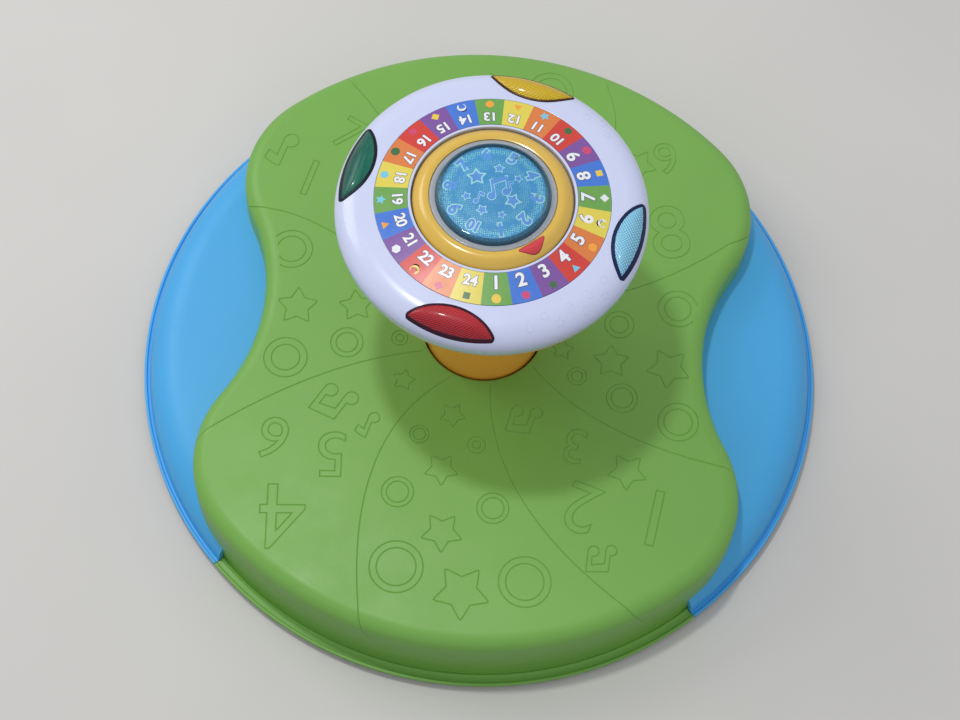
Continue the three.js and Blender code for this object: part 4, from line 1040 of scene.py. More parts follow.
class TOY_OT_column(bpy.types.Operator):
    """Build the orange column cover"""

    bl_idname = "toy.column"
    bl_label = "Column"

    def execute(self, context):
        foot, waist, head = COLUMN_HIGH.x, 36 * MM, 40 * MM
        low, high = COLUMN_LOW.z, COLUMN_HIGH.z
        wall, bore = 2.8 * MM, POST_BORE
        foot_top, waist_at = low + 16 * MM, low + 90 * MM
        side = [(foot, low)]
        side += [(radius, foot_top + (waist_at - foot_top) * t) for t, radius in smooth_step(foot, waist, 20)]
        side += [(radius, waist_at + (high - waist_at) * t) for t, radius in smooth_step(waist, head, 16)][1:]
        inside = [(radius - wall, height) for radius, height in side[2:-2]][::-1]
        profile = [
            (bore, low), *side, (bore, high), (bore, high - wall), (head - wall, high - wall),
            *inside, (foot - wall, low + wall), (bore, low + wall),
        ]
        column = lathe(profile, 128)
        piece("column", *column, orange("orange_gloss_plastic"), "base", "orange_plastic", ["column_cover"])
        return {"FINISHED"}


def shell_height(radius):
    """Height of the white shell's outside beyond the dial."""
    c = console()
    flank_top = CONSOLE_LOW + c.flank
    share = np.clip((radius - c.crown_radius) / (c.radius - c.crown_radius), 0, 1)
    return flank_top + c.crown_rise * np.sqrt(1 - share**2)


def on_shell(outline, rise):
    """Points of a plan outline at a height over the white shell."""
    return [(x, y, float(shell_height(math.hypot(x, y))) + rise) for x, y in outline]


# The steps of a lens's long sides and of its round tips
LEAF_STEPS, TIP_STEPS = 28, 8


def leaf(inset):
    """A lens in plan along +X, its tips rounded, drawn in by an inset. Anticlockwise."""
    c = console()
    soft, past_tip = 2.2 * MM, 1.4 * MM
    chord = math.sqrt(c.lens_tip**2 - c.lens_half_length**2)
    half_length = c.lens_half_length + past_tip
    arcs = []
    for middle in (c.lens_outer, c.lens_inner):
        sag = middle - chord
        radius = (half_length**2 + sag**2) / (2 * abs(sag))
        arcs.append((middle - math.copysign(radius, sag), radius - soft))
    (ox, ro), (ix, ri) = arcs
    x = (ro**2 - ri**2 + ix**2 - ox**2) / (2 * (ix - ox))
    y = math.sqrt(ro**2 - (x - ox) ** 2)
    turn_out = math.atan2(y, x - ox)
    turn_in = math.atan2(y, x - ix)
    grow = soft - inset
    outline = arc(ox, 0, ro + grow, -turn_out, turn_out, LEAF_STEPS)
    outline += arc(x, y, grow, turn_out, turn_in, TIP_STEPS)[1:]
    outline += arc(ix, 0, ri + grow, turn_in, 2 * math.pi - turn_in, LEAF_STEPS)[1:]
    outline += arc(x, -y, grow, 2 * math.pi - turn_in, 2 * math.pi - turn_out, TIP_STEPS)[1:-1]
    return outline


def lens_angles():
    return [console().lens_turn + math.pi / 2 * i for i in range(4)]


# Faint raised shapes on the white shoulder: kind, angle in degrees, radius and size in millimetres.
SHOULDER_MARKS = [
    ("drop", -72, 95, 3.6), ("ring", -65, 90, 2.6), ("star", -60, 97, 3.4), ("note", -54, 91, 0.42),
    ("ring", -49, 98, 2.6), ("drop", -44, 92, 3.2), ("star", -39, 98, 3.2), ("ring", -35, 91, 2.4),
    ("note", -30, 97, 0.42), ("star", 38, 93, 3.2), ("ring", 44, 97, 2.6), ("drop", 50, 92, 3.2),
]


class TOY_OT_console(bpy.types.Operator):
    """Build the white and orange shells of the console"""

    bl_idname = "toy.console"
    bl_label = "Console"

    wall = 2.6 * MM

    def execute(self, context):
        finish = moulded("white_gloss_plastic", colours().white, 0.26, 0.006 * MM, 0.02, 0.4)
        self.upper(finish)
        points, faces, _ = welded([self.mark(*row) for row in SHOULDER_MARKS], 0)
        piece("console_marks", points, faces, finish, "base", "white_plastic")
        self.lower()
        return {"FINISHED"}

    def upper(self, finish):
        c = console()
        low, wall = CONSOLE_LOW, self.wall
        outer_z, inner_z = LABEL_TOP - DIAL_FALL, LABEL_TOP
        recess, slack, cable_hole = 1.1 * MM, 0.3 * MM, 6 * MM
        well = inner_z - 9 * MM
        well_under = well - 3.5 * MM
        sleeve, sleeve_wall, sleeve_top = 41.4 * MM, 1.4 * MM, inner_z + 1 * MM
        flank_top, under_dial = low + c.flank, outer_z - recess - wall + slack
        flank = [
            (c.edge_radius + (c.radius - c.edge_radius) * math.sin(t * math.pi / 2), low + c.flank * t)
            for t in np.linspace(0, 1, 8)[1:-1]
        ]
        shoulder = quarter(c.crown_radius, flank_top, c.radius - c.crown_radius, c.crown_rise, 24)
        inside_reach = c.radius - c.crown_radius - wall
        profile = filleted([
            (c.edge_radius - wall, low), (c.edge_radius, low, 0.5 * MM), *flank, *shoulder[::-1],
            (c.dial_outer + slack, outer_z + 0.1 * MM, 0.5 * MM), (c.dial_outer + slack, outer_z - recess),
            (c.dial_inner - slack, inner_z - recess), (c.dial_inner - slack, inner_z, 0.3 * MM),
            (c.well_radius, inner_z, 0.4 * MM), (c.well_radius, well), (sleeve, well),
            (sleeve, sleeve_top, 0.3 * MM), (sleeve - sleeve_wall, sleeve_top, 0.3 * MM),
            (sleeve - sleeve_wall, well), (cable_hole, well), (cable_hole, well_under),
            (c.well_radius + wall, well_under), (c.well_radius + wall, inner_z - recess - wall),
            (c.crown_radius, under_dial),
            *quarter(c.crown_radius, flank_top, inside_reach, under_dial - flank_top, 8)[1:],
        ])
        shell = lathe(profile, 192)
        made = piece("console_top", *shell, finish, "base", "white_plastic", ["console_upper_shell"])
        seat_of_lens, low_cut, high_cut = leaf(-0.25 * MM), low + c.flank / 2, inner_z + 4 * MM
        cut_by(made, [prism(placed(seat_of_lens, 0, 0, angle), low_cut, high_cut) for angle in lens_angles()])

    def mark(self, kind, angle, radius, size):
        """One faint raised outline that follows the shoulder."""
        shapes = {
            "note": placed(note(False), 0, -5 * size, 0, size),
            "ring": circle(0, 0, size, 28),
            "star": star(size),
            "drop": arc(0, 0, size * 0.7, math.radians(-210), math.radians(30), 20) + [(0, size * 1.6)],
        }
        turn = math.radians(angle)
        line = placed(shapes[kind], *polar(radius, turn), turn + math.pi / 2)
        line = np.array(placed(line, 0, 0, VIEW_TURN, MM))
        inner = offset_line(line, 0.35 * MM, True)
        near = (3 * line + inner) / 4
        rise, root = 0.14 * MM, -0.4 * MM
        rings = ((line, root), (line, rise * 0.4), (near, rise), (inner, rise), (inner, root))
        points = [point for ring, lift in rings for point in on_shell(ring, lift)]
        count = len(line)
        faces = [face for k in range(5) for face in band(k * count, (k + 1) % 5 * count, count)]
        return points, faces

    def lower(self):
        low, high, wall = BOWL_LOW, CONSOLE_LOW - 0.3 * MM, self.wall
        flat, edge, lip = 80 * MM, console().edge_radius - 0.3 * MM, 1.2 * MM
        bend, inside_bend = 89 * MM, 88 * MM - wall
        bore, socket, socket_top = POST_BORE, POST_BORE + 3 * MM, low + 22 * MM
        bowl = curve((flat, low), (bend, low), (edge, high - lip), 20)
        inside = curve((flat - wall, low + wall), (inside_bend, low + wall), (edge - wall, high - lip), 10)
        profile = filleted([
            (bore, low), (flat - 4 * MM, low), *bowl, (edge, high), (edge - wall, high), *inside[::-1],
            (socket, low + wall), (socket, socket_top), (bore, socket_top),
        ])
        made = piece("console_bowl", *lathe(profile, 192), orange("orange_bowl_plastic"), "base",
                     "orange_plastic", ["console_lower_shell"])
        cut_by(made, [prism(outline, low - 5 * MM, low + 5 * MM) for outline in self.openings()])

    def openings(self):
        """In plan: the slots of speaker and switch, the battery door's seat and the screws' pockets."""
        outlines = []
        speaker_x, speaker_radius, slot_half = -46 * MM, 20 * MM, 1.5 * MM
        for i in range(-2, 3):
            y = i * 7 * MM
            half = math.sqrt(speaker_radius**2 - y * y)
            right = arc(speaker_x + half, y, slot_half, -math.pi / 2, math.pi / 2, 6)
            outlines.append(right + arc(speaker_x - half, y, slot_half, math.pi / 2, 3 * math.pi / 2, 6))
        outlines.append(self.door_outline(0.3 * MM))
        y = box_middle("power_switch")[1]
        outlines.append(rectangle(-5.8 * MM, 5.8 * MM, y - 2.3 * MM, y + 2.3 * MM))
        for i in range(4):
            x, y, _ = box_middle(f"console_screw_{i + 1}")
            outlines.append(circle(x, y, 3.4 * MM, 24))
        return outlines

    def door_outline(self, grow):
        """The battery door in plan, with the lug that takes its screw."""
        low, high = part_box("battery_door")
        middle, half_lug = (low.x + high.x) / 2, 4 * MM + grow
        left, right, half_y = low.x - grow, high.x + grow, -low.y + grow
        return [
            (left, -half_y), (right, -half_y), (right, half_y), (middle + half_lug, half_y),
            (middle + half_lug, high.y + grow), (middle - half_lug, high.y + grow),
            (middle - half_lug, half_y), (left, half_y),
        ]


# Lenses: the border's width and colour, the outer side's colour, the ribs' colour and their pitch
LENSES = {
    "yellow": (1.5 * MM, (70, 36, 12), (255, 214, 40), (150, 108, 4), 1.45 * MM),
    "green": (2.0 * MM, (6, 20, 34), (6, 58, 56), (44, 140, 112), 0.0),
    "red": (1.7 * MM, (56, 12, 34), (196, 34, 50), (100, 8, 24), 1.4 * MM),
    "blue": (2.3 * MM, (10, 28, 74), (176, 242, 255), (70, 142, 192), 1.55 * MM),
}


class TOY_OT_lenses(bpy.types.Operator):
    """Build the four leaf-shaped lenses with their dark borders"""

    bl_idname = "toy.lenses"
    bl_label = "Lenses"

    def execute(self, context):
        for (name, looks), angle in zip(LENSES.items(), lens_angles()):
            border, border_tint, outer_tint, rib_tint, pitch = looks
            tints = getattr(colours(), f"lens_{name}"), linear(*outer_tint), linear(*rib_tint)
            face = lens_plastic(f"{name}_lens_face", *tints, pitch, angle)
            edge = moulded(f"{name}_lens_border", linear(*border_tint), 0.4, 0.005 * MM, 0.1, 0.0, 0.0, 0.25)
            points, faces, marks = self.mesh(border)
            turned = [(*placed([(x, y)], 0, 0, angle)[0], z) for x, y, z in points]
            piece(f"{name}_lens", turned, faces, [face, edge], "base", f"lens_{name}", [f"lens_{name}"],
                  marks)
        return {"FINISHED"}

    def mesh(self, border):
        """A lens along +X: its border and back, and the swollen face inside the border."""
        thickness, lip = 2.4 * MM, 0.55 * MM
        outer, inner = leaf(0.0), np.array(leaf(border))
        rings = [
            on_shell(outer, -thickness), on_shell(outer, lip * 0.3), on_shell(leaf(0.25 * MM), lip),
            on_shell(leaf(border - 0.3 * MM), lip * 1.4), on_shell(inner, lip * 1.1),
        ]
        count = len(outer)
        walls = [face for k in range(len(rings) - 1) for face in band(k * count, (k + 1) * count, count)]
        floor = [list(reversed(range(count)))]
        far_side = inner[:LEAF_STEPS + 1]
        near_side = inner[LEAF_STEPS + TIP_STEPS:2 * LEAF_STEPS + TIP_STEPS + 1][::-1]
        spots, triangles = filled([inner], 0.8 * MM)
        x, y = spots.T
        far = np.interp(y, far_side[:, 1], far_side[:, 0])
        near = np.interp(y, near_side[:, 1], near_side[:, 0])
        across = np.clip(np.abs(2 * x - far - near) / (far - near), 0, 1)
        away = np.linalg.norm(spots[:, None] - inner[None], axis=2).min(1)
        swell = (1 - across**2) * (1 - (np.abs(y) / inner[:, 1].max()) ** 2.5)
        swell *= 1 - (1 - np.clip(away / (1.2 * MM), 0, 1)) ** 2
        bulge = console().lens_bulge - lip
        face = [(px, py, pz + bulge * rise) for (px, py, pz), rise in zip(on_shell(spots, lip * 1.1), swell)]
        return welded([(sum(rings, []), walls + floor, 1), (face, triangles, 0)], 0.01 * MM)


# Dial
WEDGE_TINTS = ((110, 168, 76), (66, 122, 218), (128, 82, 162), (216, 60, 50), (228, 128, 62), (232, 214, 82))
MOTIF_TINTS = (
    (240, 208, 70), (238, 240, 244), (250, 168, 60), (120, 205, 230), (60, 110, 60), (214, 70, 120),
)
MOTIFS = ("disc", "triangle", "diamond", "pentagon", "hexagon", "square", "star", "moon")
SIDES = {"triangle": 3, "diamond": 4, "pentagon": 5, "hexagon": 6, "square": 4}


def dial_height(radius):
    """Height of the label's printed face."""
    c = console()
    share = (radius - c.dial_inner) / (c.dial_outer - c.dial_inner)
    return LABEL_TOP - DIAL_FALL * share


def figure_faces(text, size, bold):
    """A number as flat triangles, its strokes widened by a share of its size."""
    points, _, faces = written(text, size=size, offset=bold * size, resolution_u=6, space_character=0.94)
    return np.array(points), faces


def polygon_faces(outline):
    return np.array(outline), [list(range(len(outline)))]


def print_solid(shape, x, y, turn, surface, layer, level):
    """A flat shape laid on a surface as a thin print of some layers. The surface is a height by radius."""
    plan, faces = shape
    edges = dict.fromkeys(edge for face in faces for edge in zip(face, face[1:] + face[:1]))
    border = [(a, b) for a, b in edges if (b, a) not in edges]
    count = len(plan)
    spots = [(u, v, surface(math.hypot(u, v))) for u, v in placed(plan, x, y, turn)]
    points = [(u, v, z - layer) for u, v, z in spots] + [(u, v, z + level * layer) for u, v, z in spots]
    solid = [list(reversed(face)) for face in faces]
    solid += [[i + count for i in face] for face in faces]
    solid += [[a, b, b + count, a + count] for a, b in border]
    return points, solid


def motif(kind, size):
    """One of the dial's plain shapes, in plan."""
    if kind == "disc":
        return circle(0, 0, size, 28)
    if kind == "star":
        return placed(star(size * 1.15, 0.5), 0, 0, math.pi / 2)
    if kind == "moon":
        outer = arc(0, 0, size, math.radians(-60), math.radians(240), 24)
        return outer + arc(-0.15 * size, 0.42 * size, size * 0.85, math.radians(215), math.radians(-35), 18)
    turn = math.pi / 4 if kind == "square" else math.pi / 2
    return [polar(size, turn + 2 * math.pi * i / SIDES[kind]) for i in range(SIDES[kind])]


class TOY_OT_dial(bpy.types.Operator):
    """Build the printed dial with its wedges, numbers and plain shapes"""

    bl_idname = "toy.dial"
    bl_label = "Dial"

    def execute(self, context):
        finishes = [
            ink(f"{kind}_ink_{i + 1}", linear(*tint))
            for kind, tints in (("wedge", WEDGE_TINTS), ("motif", MOTIF_TINTS))
            for i, tint in enumerate(tints)
        ]
        finishes.append(ink("figure_ink", linear(246, 246, 250)))
        finishes.append(ink("figure_edge_ink", linear(70, 66, 96)))
        figure_at, shadow_at = len(finishes) - 2, len(finishes) - 1
        figure_radius, motif_radius = 62.8 * MM, 73.2 * MM
        wedges = console().wedges
        parts = self.ring()
        for i in range(wedges):
            angle = -math.pi / 2 + 2 * math.pi * (i + 0.5) / wedges
            text = str(i + 1)
            size = 12.6 * MM if len(text) == 1 else 9.8 * MM
            shape = polygon_faces(motif(MOTIFS[i * 3 % 8], 3.1 * MM))
            shape_at = len(WEDGE_TINTS) + (i * 5 + i // 6) % len(MOTIF_TINTS)
            prints = (
                (figure_faces(text, size, 0.062), figure_radius, 1, shadow_at),
                (figure_faces(text, size, 0.030), figure_radius, 2, figure_at),
                (shape, motif_radius, 1, shape_at),
            )
            for shape, radius, level, mark in prints:
                x, y = polar(radius, angle)
                solid = print_solid(shape, x, y, angle + math.pi / 2, dial_height, 0.05 * MM, level)
                parts.append((*solid, mark))
        points, faces, marks = welded(parts, 0)
        piece("dial_print", points, faces, finishes, "base", "printed_label", ["dial_label"], marks, 40)
        return {"FINISHED"}

    def ring(self):
        """The label's ring, one wedge after another."""
        c = console()
        thickness, outer_top = 0.8 * MM, LABEL_TOP - DIAL_FALL
        profile = [
            (c.dial_inner, LABEL_TOP - thickness), (c.dial_outer, outer_top - thickness),
            (c.dial_outer, outer_top), (c.dial_inner, LABEL_TOP),
        ]
        parts = []
        for i in range(c.wedges):
            start = -math.pi / 2 + 2 * math.pi * i / c.wedges
            parts.append((*sector(profile, start, start + 2 * math.pi / c.wedges, 8), i % len(WEDGE_TINTS)))
        return parts


# Pointer
class TOY_OT_pointer(bpy.types.Operator):
    """Build the yellow ring and its red arrow"""

    bl_idname = "toy.pointer"
    bl_label = "Pointer"

    step_radius = 42.2 * MM
    inner_radius = 41.8 * MM
    outer_radius = 52.8 * MM
    edge_drop = 5.0 * MM
    crown = 1.7 * MM

    def height(self, radius):
        """Height of the ring's crowned face."""
        share = min(max((radius - self.step_radius) / (self.outer_radius - self.step_radius), 0), 1)
        return BEZEL_HIGH.z - self.edge_drop * share**1.3 + self.crown * math.sin(math.pi * share)

    def execute(self, context):
        low = RING_LOW
        radii = np.linspace(self.step_radius, self.outer_radius, 17)
        top = [(radius, self.height(radius)) for radius in radii]
        shelf = BEZEL_LOW.z - 0.3 * MM
        profile = filleted([
            (self.inner_radius, low), (self.outer_radius, low),
            (self.outer_radius, top[-1][1] - 0.2 * MM, 0.8 * MM), *top[::-1][1:],
            (self.step_radius, shelf), (self.inner_radius, shelf),
        ])
        yellow = moulded("yellow_gloss_plastic", colours().yellow, 0.2, 0.004 * MM, 0.02, 0.5, 0.0)
        piece("pointer", *lathe(profile, 160), yellow, "pointer", "yellow_plastic", ["pointer_ring"])
        red = moulded("red_gloss_plastic", colours().red, 0.3, 0.004 * MM, 0.02, 0.3, 0.0)
        # Painted shade: the arrow's round edge and sides take its red darkened to 0.58.
        painted_shade_red = moulded("red_painted_shade_plastic", shade(colours().red, 0.58), 0.35, 0.004 * MM, 0.02, 0.0, 0.0)
        points, faces, marks = self.arrow_mesh(placed(self.arrow(), 0, 0, console().arrow_turn))
        piece("arrow", points, faces, [red, painted_shade_red], "pointer", "red_plastic", ["pointer_arrow"], marks)
        return {"FINISHED"}

    def arrow(self):
        """A low triangle with round corners, its base along the bezel."""
        base, tip, half = 42.7 * MM, 53.2 * MM, 11.8 * MM
        corners = [((base, -half), 4.2 * MM), ((tip, 0.0), 7.6 * MM), ((base, half), 4.2 * MM)]
        outline = []
        for i, (_, soft) in enumerate(corners):
            here, before, after = (np.array(corners[k % 3][0]) for k in (i, i - 1, i + 1))
            end, next_start = towards(here, after, soft), towards(after, here, corners[(i + 1) % 3][1])
            outline += curve(towards(here, before, soft), here, end, 8)
            outline += [tuple(end + (next_start - end) * t) for t in np.linspace(0, 1, 20)[1:-1]]
        return outline

    def arrow_mesh(self, outline):
        """The arrow, its face raised a little over the ring's crown, with painted shade, a darker red, on its
        round edge and sides.
        """
        line = np.array(outline)
        rims = [offset_line(line, side * MM, True) for side in (0.0, 0.25, 0.55)]
        spots, triangles = filled(rims, 0.9 * MM)
        edge = np.concatenate([rims[0], (rims[0] + np.roll(rims[0], 1, 0)) / 2])
        away = np.linalg.norm(spots[:, None] - edge[None], axis=2).min(1)
        proud = 0.3 * MM * np.sqrt(np.clip(away / (0.5 * MM), 0, 1))
        top = [(x, y, self.height(math.hypot(x, y)) + rise) for (x, y), rise in zip(spots, proud)]
        # Faces at the round edge take the painted shade.
        marks = [int(away[t].max() < 0.6 * MM) for t in triangles]
        count = len(line)
        sides = [(x, y, self.height(math.hypot(x, y)) - depth) for depth in (0, 0.8 * MM) for x, y in line]
        floor = [list(range(2 * count - 1, count - 1, -1))]
        parts = [(top, [t for t, m in zip(triangles, marks) if m == mark], mark) for mark in (0, 1)]
        return welded([*parts, (sides, swept(2, count) + floor, 1)], 0.01 * MM)


# Dome: under it, stars as place, size and turn, and notes with whether they are beamed
DISC_STARS = (
    (-12, 9, 7.2, 100), (13, -6, 6.2, 70), (2, 17, 4.2, 20), (-6, -15, 4.4, 50), (15, 11, 3.4, 0),
    (-17, -6, 3.6, 40), (7, -17, 3.2, 80),
)
DISC_NOTES = ((1, 2, 1.15, 15, True), (-8, -6, 0.7, -10, False), (11, 5, 0.6, 20, False))


def dome_height(radius):
    """Height of the cap's outside."""
    return CAP_HIGH.z - 3.8 * MM * (radius / DOME_SIDE) ** 2


def disc_height(radius):
    """Height of the printed plate's face."""
    return dome_height(radius) - 2.5 * MM


class TOY_OT_dome(bpy.types.Operator):
    """Build the clear dome, its print and its clear bezel"""

    bl_idname = "toy.dome"
    bl_label = "Dome"

    def execute(self, context):
        self.cap()
        self.print_disc()
        bore, low, high = 37.9 * MM, BEZEL_LOW.z, BEZEL_HIGH.z
        ring = filleted([
            (bore, low), (BEZEL_HIGH.x, low, 0.2 * MM), (BEZEL_HIGH.x, high, 0.9 * MM),
            (bore, high, 0.7 * MM),
        ])
        bezel = clear("bezel_clear_plastic", linear(234, 236, 240), 0.08, 0.62)
        piece("bezel", *lathe(ring, 128), bezel, "base", "clear_grey", ["dome_bezel"])
        return {"FINISHED"}

    def cap(self):
        """The clear cap: a crown that bends into a straight side with a flange at its foot."""
        wall, bend, inner_bend = 2.2 * MM, 2.4 * MM, 1.2 * MM
        low, crown, inner = CAP_LOW.z, DOME_SIDE - bend, DOME_SIDE - wall
        flange, flange_top = DOME_SIDE + 2.1 * MM, low + 2 * MM
        outside = [(r, dome_height(r)) for r in np.linspace(0, crown, 12)]
        outside += [
            (DOME_SIDE - bend * (1 - math.sin(a)), dome_height(crown) - bend * (1 - math.cos(a)))
            for a in np.linspace(0, math.pi / 2, 7)[1:]
        ]
        inside = [(r, dome_height(r) - wall) for r in np.linspace(0, inner - inner_bend, 10)]
        inside += [(inner, dome_height(inner) - wall - inner_bend)]
        profile = [
            *outside, (DOME_SIDE, flange_top), (flange, flange_top), (flange, low), (inner, low),
            *inside[::-1],
        ]
        glass = clear("dome_clear_plastic", linear(250, 253, 254), 0.03, 1.0, 1.25)
        wall_glass = clear("dome_wall_plastic", linear(96, 176, 208), 0.06, 0.8)
        points, faces = lathe(profile[::-1], 128)
        marks = [int(min(math.hypot(*points[i][:2]) for i in face) > inner - 1.4 * MM) for face in faces]
        piece("dome", points, faces, [glass, wall_glass], "dome_button", "clear_blue", ["dome_cap"], marks)

    def print_disc(self):
        """The printed plate under the dome's top, with the ribbed sleeve that the wall shows."""
        c = colours()
        rib = moulded("rib_plastic", c.rib, 0.4, 0.01 * MM, 0.1, 0.0, 0.0)
        finishes = [
            self.painted_glint_stipple("disc_painted_glint_stipple_plastic", c.dome), rib,
            ink("disc_line_ink", linear(184, 246, 255)), ink("disc_fill_ink", c.figure),
        ]
        reach, rod = DISC_HIGH.x, 3 * MM
        plate_low, rod_top = disc_height(reach) - 1.5 * MM, disc_height(0) - 1.4 * MM
        plate = [(0, disc_height(0) - 1.5 * MM), (reach, plate_low)]
        plate += [(r, disc_height(r)) for r in np.linspace(reach, 0, 14)]
        plunger = [(0, DISC_LOW.z), (rod, DISC_LOW.z), (rod, rod_top), (0, rod_top)]
        parts = [(*lathe(plate, 96, closed=False), 0), (*lathe(plunger, 24, closed=False), 0)]

        def lay(line, fill, x, y, turn):
            """Print a shape's line and, a layer higher, its fill."""
            for level, shape in ((1, line), (2, fill)):
                parts.append((*print_solid(shape, x, y, turn, disc_height, 0.06 * MM, level), level + 1))

        for i in range(10):
            angle = math.radians(-75 + 36 * i)
            size = 11.6 * MM if i < 9 else 9.6 * MM
            line, fill = (figure_faces(str(i + 1), size, bold) for bold in (0.110, 0.035))
            lay(line, fill, *polar(27.8 * MM, angle), angle - math.pi / 2)
        for x, y, size, turn in DISC_STARS:
            line, fill = (polygon_faces(star(size * share * MM)) for share in (1, 0.70))
            lay(line, fill, x * MM, y * MM, math.radians(turn))
        for x, y, size, turn, beamed in DISC_NOTES:
            outline = placed(placed(note(beamed), -3 * size, -5 * size, 0, size), 0, 0, 0, MM)[::-1]
            drawn_in = offset_line(outline, 0.55 * size * MM, True)
            lay(polygon_faces(outline), polygon_faces(drawn_in), x * MM, y * MM, math.radians(turn))
        points, faces, marks = welded(parts, 0)
        piece("dome_print", points, faces, finishes, "dome_button", "printed_disc", ["dome_print_disc"],
              marks, 35)
        self.ribs(rib)

    def ribs(self, finish):
        """A ribbed sleeve inside the cap's wall."""
        ribs, steps = 60, 480
        inner, outer, depth = 33.4 * MM, 35.1 * MM, 0.55 * MM
        low, high = CAP_LOW.z + 0.3 * MM, disc_height(34.0 * MM) - 0.6 * MM
        points, faces = lathe(rectangle(inner, outer, low, high), steps)
        points = np.array(points)
        outside = np.hypot(points[:, 0], points[:, 1]) > 34.2 * MM
        wave = np.abs(np.sin(np.arctan2(points[:, 1], points[:, 0]) * ribs / 2))
        points[:, :2] *= (1 - outside * depth / outer * wave)[:, None]
        piece("dome_ribs", points, faces, finish, "dome_button", "clear_blue", [], None, 50)

    def painted_glint_stipple(self, name, tint):
        """A stipple of fine foil facets, its glints painted as bright dots that grow denser towards the
        plate's edge.
        """
        made = Nodes(name)
        cells = made.add("ShaderNodeTexVoronoi", Scale=740.0, Randomness=0.25)
        made.link(made.place(), cells.inputs["Vector"])
        glint_mask = made.spread(cells.outputs["Distance"], 1.0, 0.0, 0.30, 0.42)
        split = made.add("ShaderNodeSeparateXYZ")
        made.link(made.place(), split.inputs["Vector"])
        reach = made.add("ShaderNodeVectorMath", operation="LENGTH")
        flat = made.add("ShaderNodeCombineXYZ")
        made.link(split.outputs["X"], flat.inputs["X"])
        made.link(split.outputs["Y"], flat.inputs["Y"])
        made.link(flat.outputs["Vector"], reach.inputs[0])
        edge = made.spread(reach.outputs["Value"], 0.4, 1.0, 20 * MM, 32 * MM)
        both = made.add("ShaderNodeMath", operation="MULTIPLY")
        made.link(glint_mask, both.inputs[0])
        made.link(edge, both.inputs[1])
        # Painted glint: the stipple is real, and its bright dots stand in for the foil's reflections.
        glint = linear(160, 246, 246)
        made.into("Base Color", made.mix(both.outputs["Value"], tint, glint))
        made.into("Normal", made.bump(cells.outputs["Distance"], 0.05 * MM))
        made.fill(made.shader, Roughness=0.4)
        return made.material


# Base, rollers, screws and spring
def axled(points, angle, reach, level):
    """Points of a shape turned about Z, laid with its axis along a spoke of the toy."""
    cos, sin = math.cos(angle), math.sin(angle)
    return [((reach + z) * cos - x * sin, (reach + z) * sin + x * cos, level + y) for x, y, z in points]


class TOY_OT_base(bpy.types.Operator):
    """Build the ribbed floor base, its pads and the bolt of the post"""

    bl_idname = "toy.base"
    bl_label = "Base"

    def execute(self, context):
        low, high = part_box("floor_base")
        z, radius = low.z, high.x
        plate, track, boss, rim_top = z + 4 * MM, z + 6 * MM, z + 20 * MM, z + 12 * MM
        rim_inner, track_half = radius - 3 * MM, 10 * MM
        boss_radius, spigot, bolt_hole, socket = 36 * MM, 22 * MM, 4.3 * MM, z + 10 * MM
        profile = filleted([
            (bolt_hole, z), (radius, z, 1.2 * MM), (radius, rim_top, 0.8 * MM),
            (rim_inner, rim_top, 0.8 * MM), (rim_inner, plate, 1 * MM), (TRACK_RADIUS + track_half, plate),
            (TRACK_RADIUS + track_half, track, 0.5 * MM), (TRACK_RADIUS - track_half, track, 0.5 * MM),
            (TRACK_RADIUS - track_half, plate), (boss_radius, plate, 2 * MM), (boss_radius, boss, 0.6 * MM),
            (spigot, boss), (spigot, high.z, 0.5 * MM), (POST_BORE, high.z), (POST_BORE, socket),
            (bolt_hole, socket),
        ])
        made = piece("base", *lathe(profile, 160), grey("grey_base_plastic"), "base", "grey_plastic",
                     ["floor_base"])
        tools = [prism(circle(0, 0, 7.8 * MM, 32), z - 1 * MM, z + 6 * MM)]
        for inner, outer in ((30 * MM, 76 * MM), (80 * MM, 125 * MM)):
            half_rib = 3 * MM / (inner + outer)
            pocket = rectangle(inner, outer, z - 1 * MM, z + 1.6 * MM)
            for i in range(12):
                start, end = math.radians(30 * i) + half_rib, math.radians(30 * (i + 1)) - half_rib
                tools.append(sector(pocket, start, end, 8))
        cut_by(made, tools)
        self.pads()
        self.bolt()
        return {"FINISHED"}

    def pads(self):
        finish = rubber("black_rubber_pad", linear(34, 34, 36))
        tread = [(0, 0), (4, 0), (4.6, 0.8), (6.4, 0.8), (7, 0), (9.2, 0), (9.8, 0.8), (11.2, 0.8), (11.8, 0),
                 (13.4, 0), (14, 0.6), (14, 3), (13.5, 3.5), (0, 3.5)]
        points, faces = lathe([(x * MM, y * MM) for x, y in tread], 48)
        for i in range(6):
            x, y, _ = box_middle(f"floor_pad_{i + 1}")
            piece(f"pad_{i + 1}", moved(points, x, y), faces, finish, "base", "pad_rubber",
                  [f"floor_pad_{i + 1}"])

    def bolt(self):
        low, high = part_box("post_bolt")
        shank, head_top = 4 * MM, low.z + 5 * MM
        profile = filleted([
            (0, low.z), (high.x, low.z, 1 * MM), (high.x, head_top, 0.3 * MM), (shank, head_top),
            (shank, high.z - 1 * MM), (3 * MM, high.z), (0, high.z),
        ])
        made = piece("bolt", *lathe(profile, 48), steel("bolt_steel"), "base", "plated_steel", ["post_bolt"])
        cut_by(made, [prism(circle(0, 0, 3.6 * MM, 6), low.z - 1 * MM, low.z + 3 * MM)])


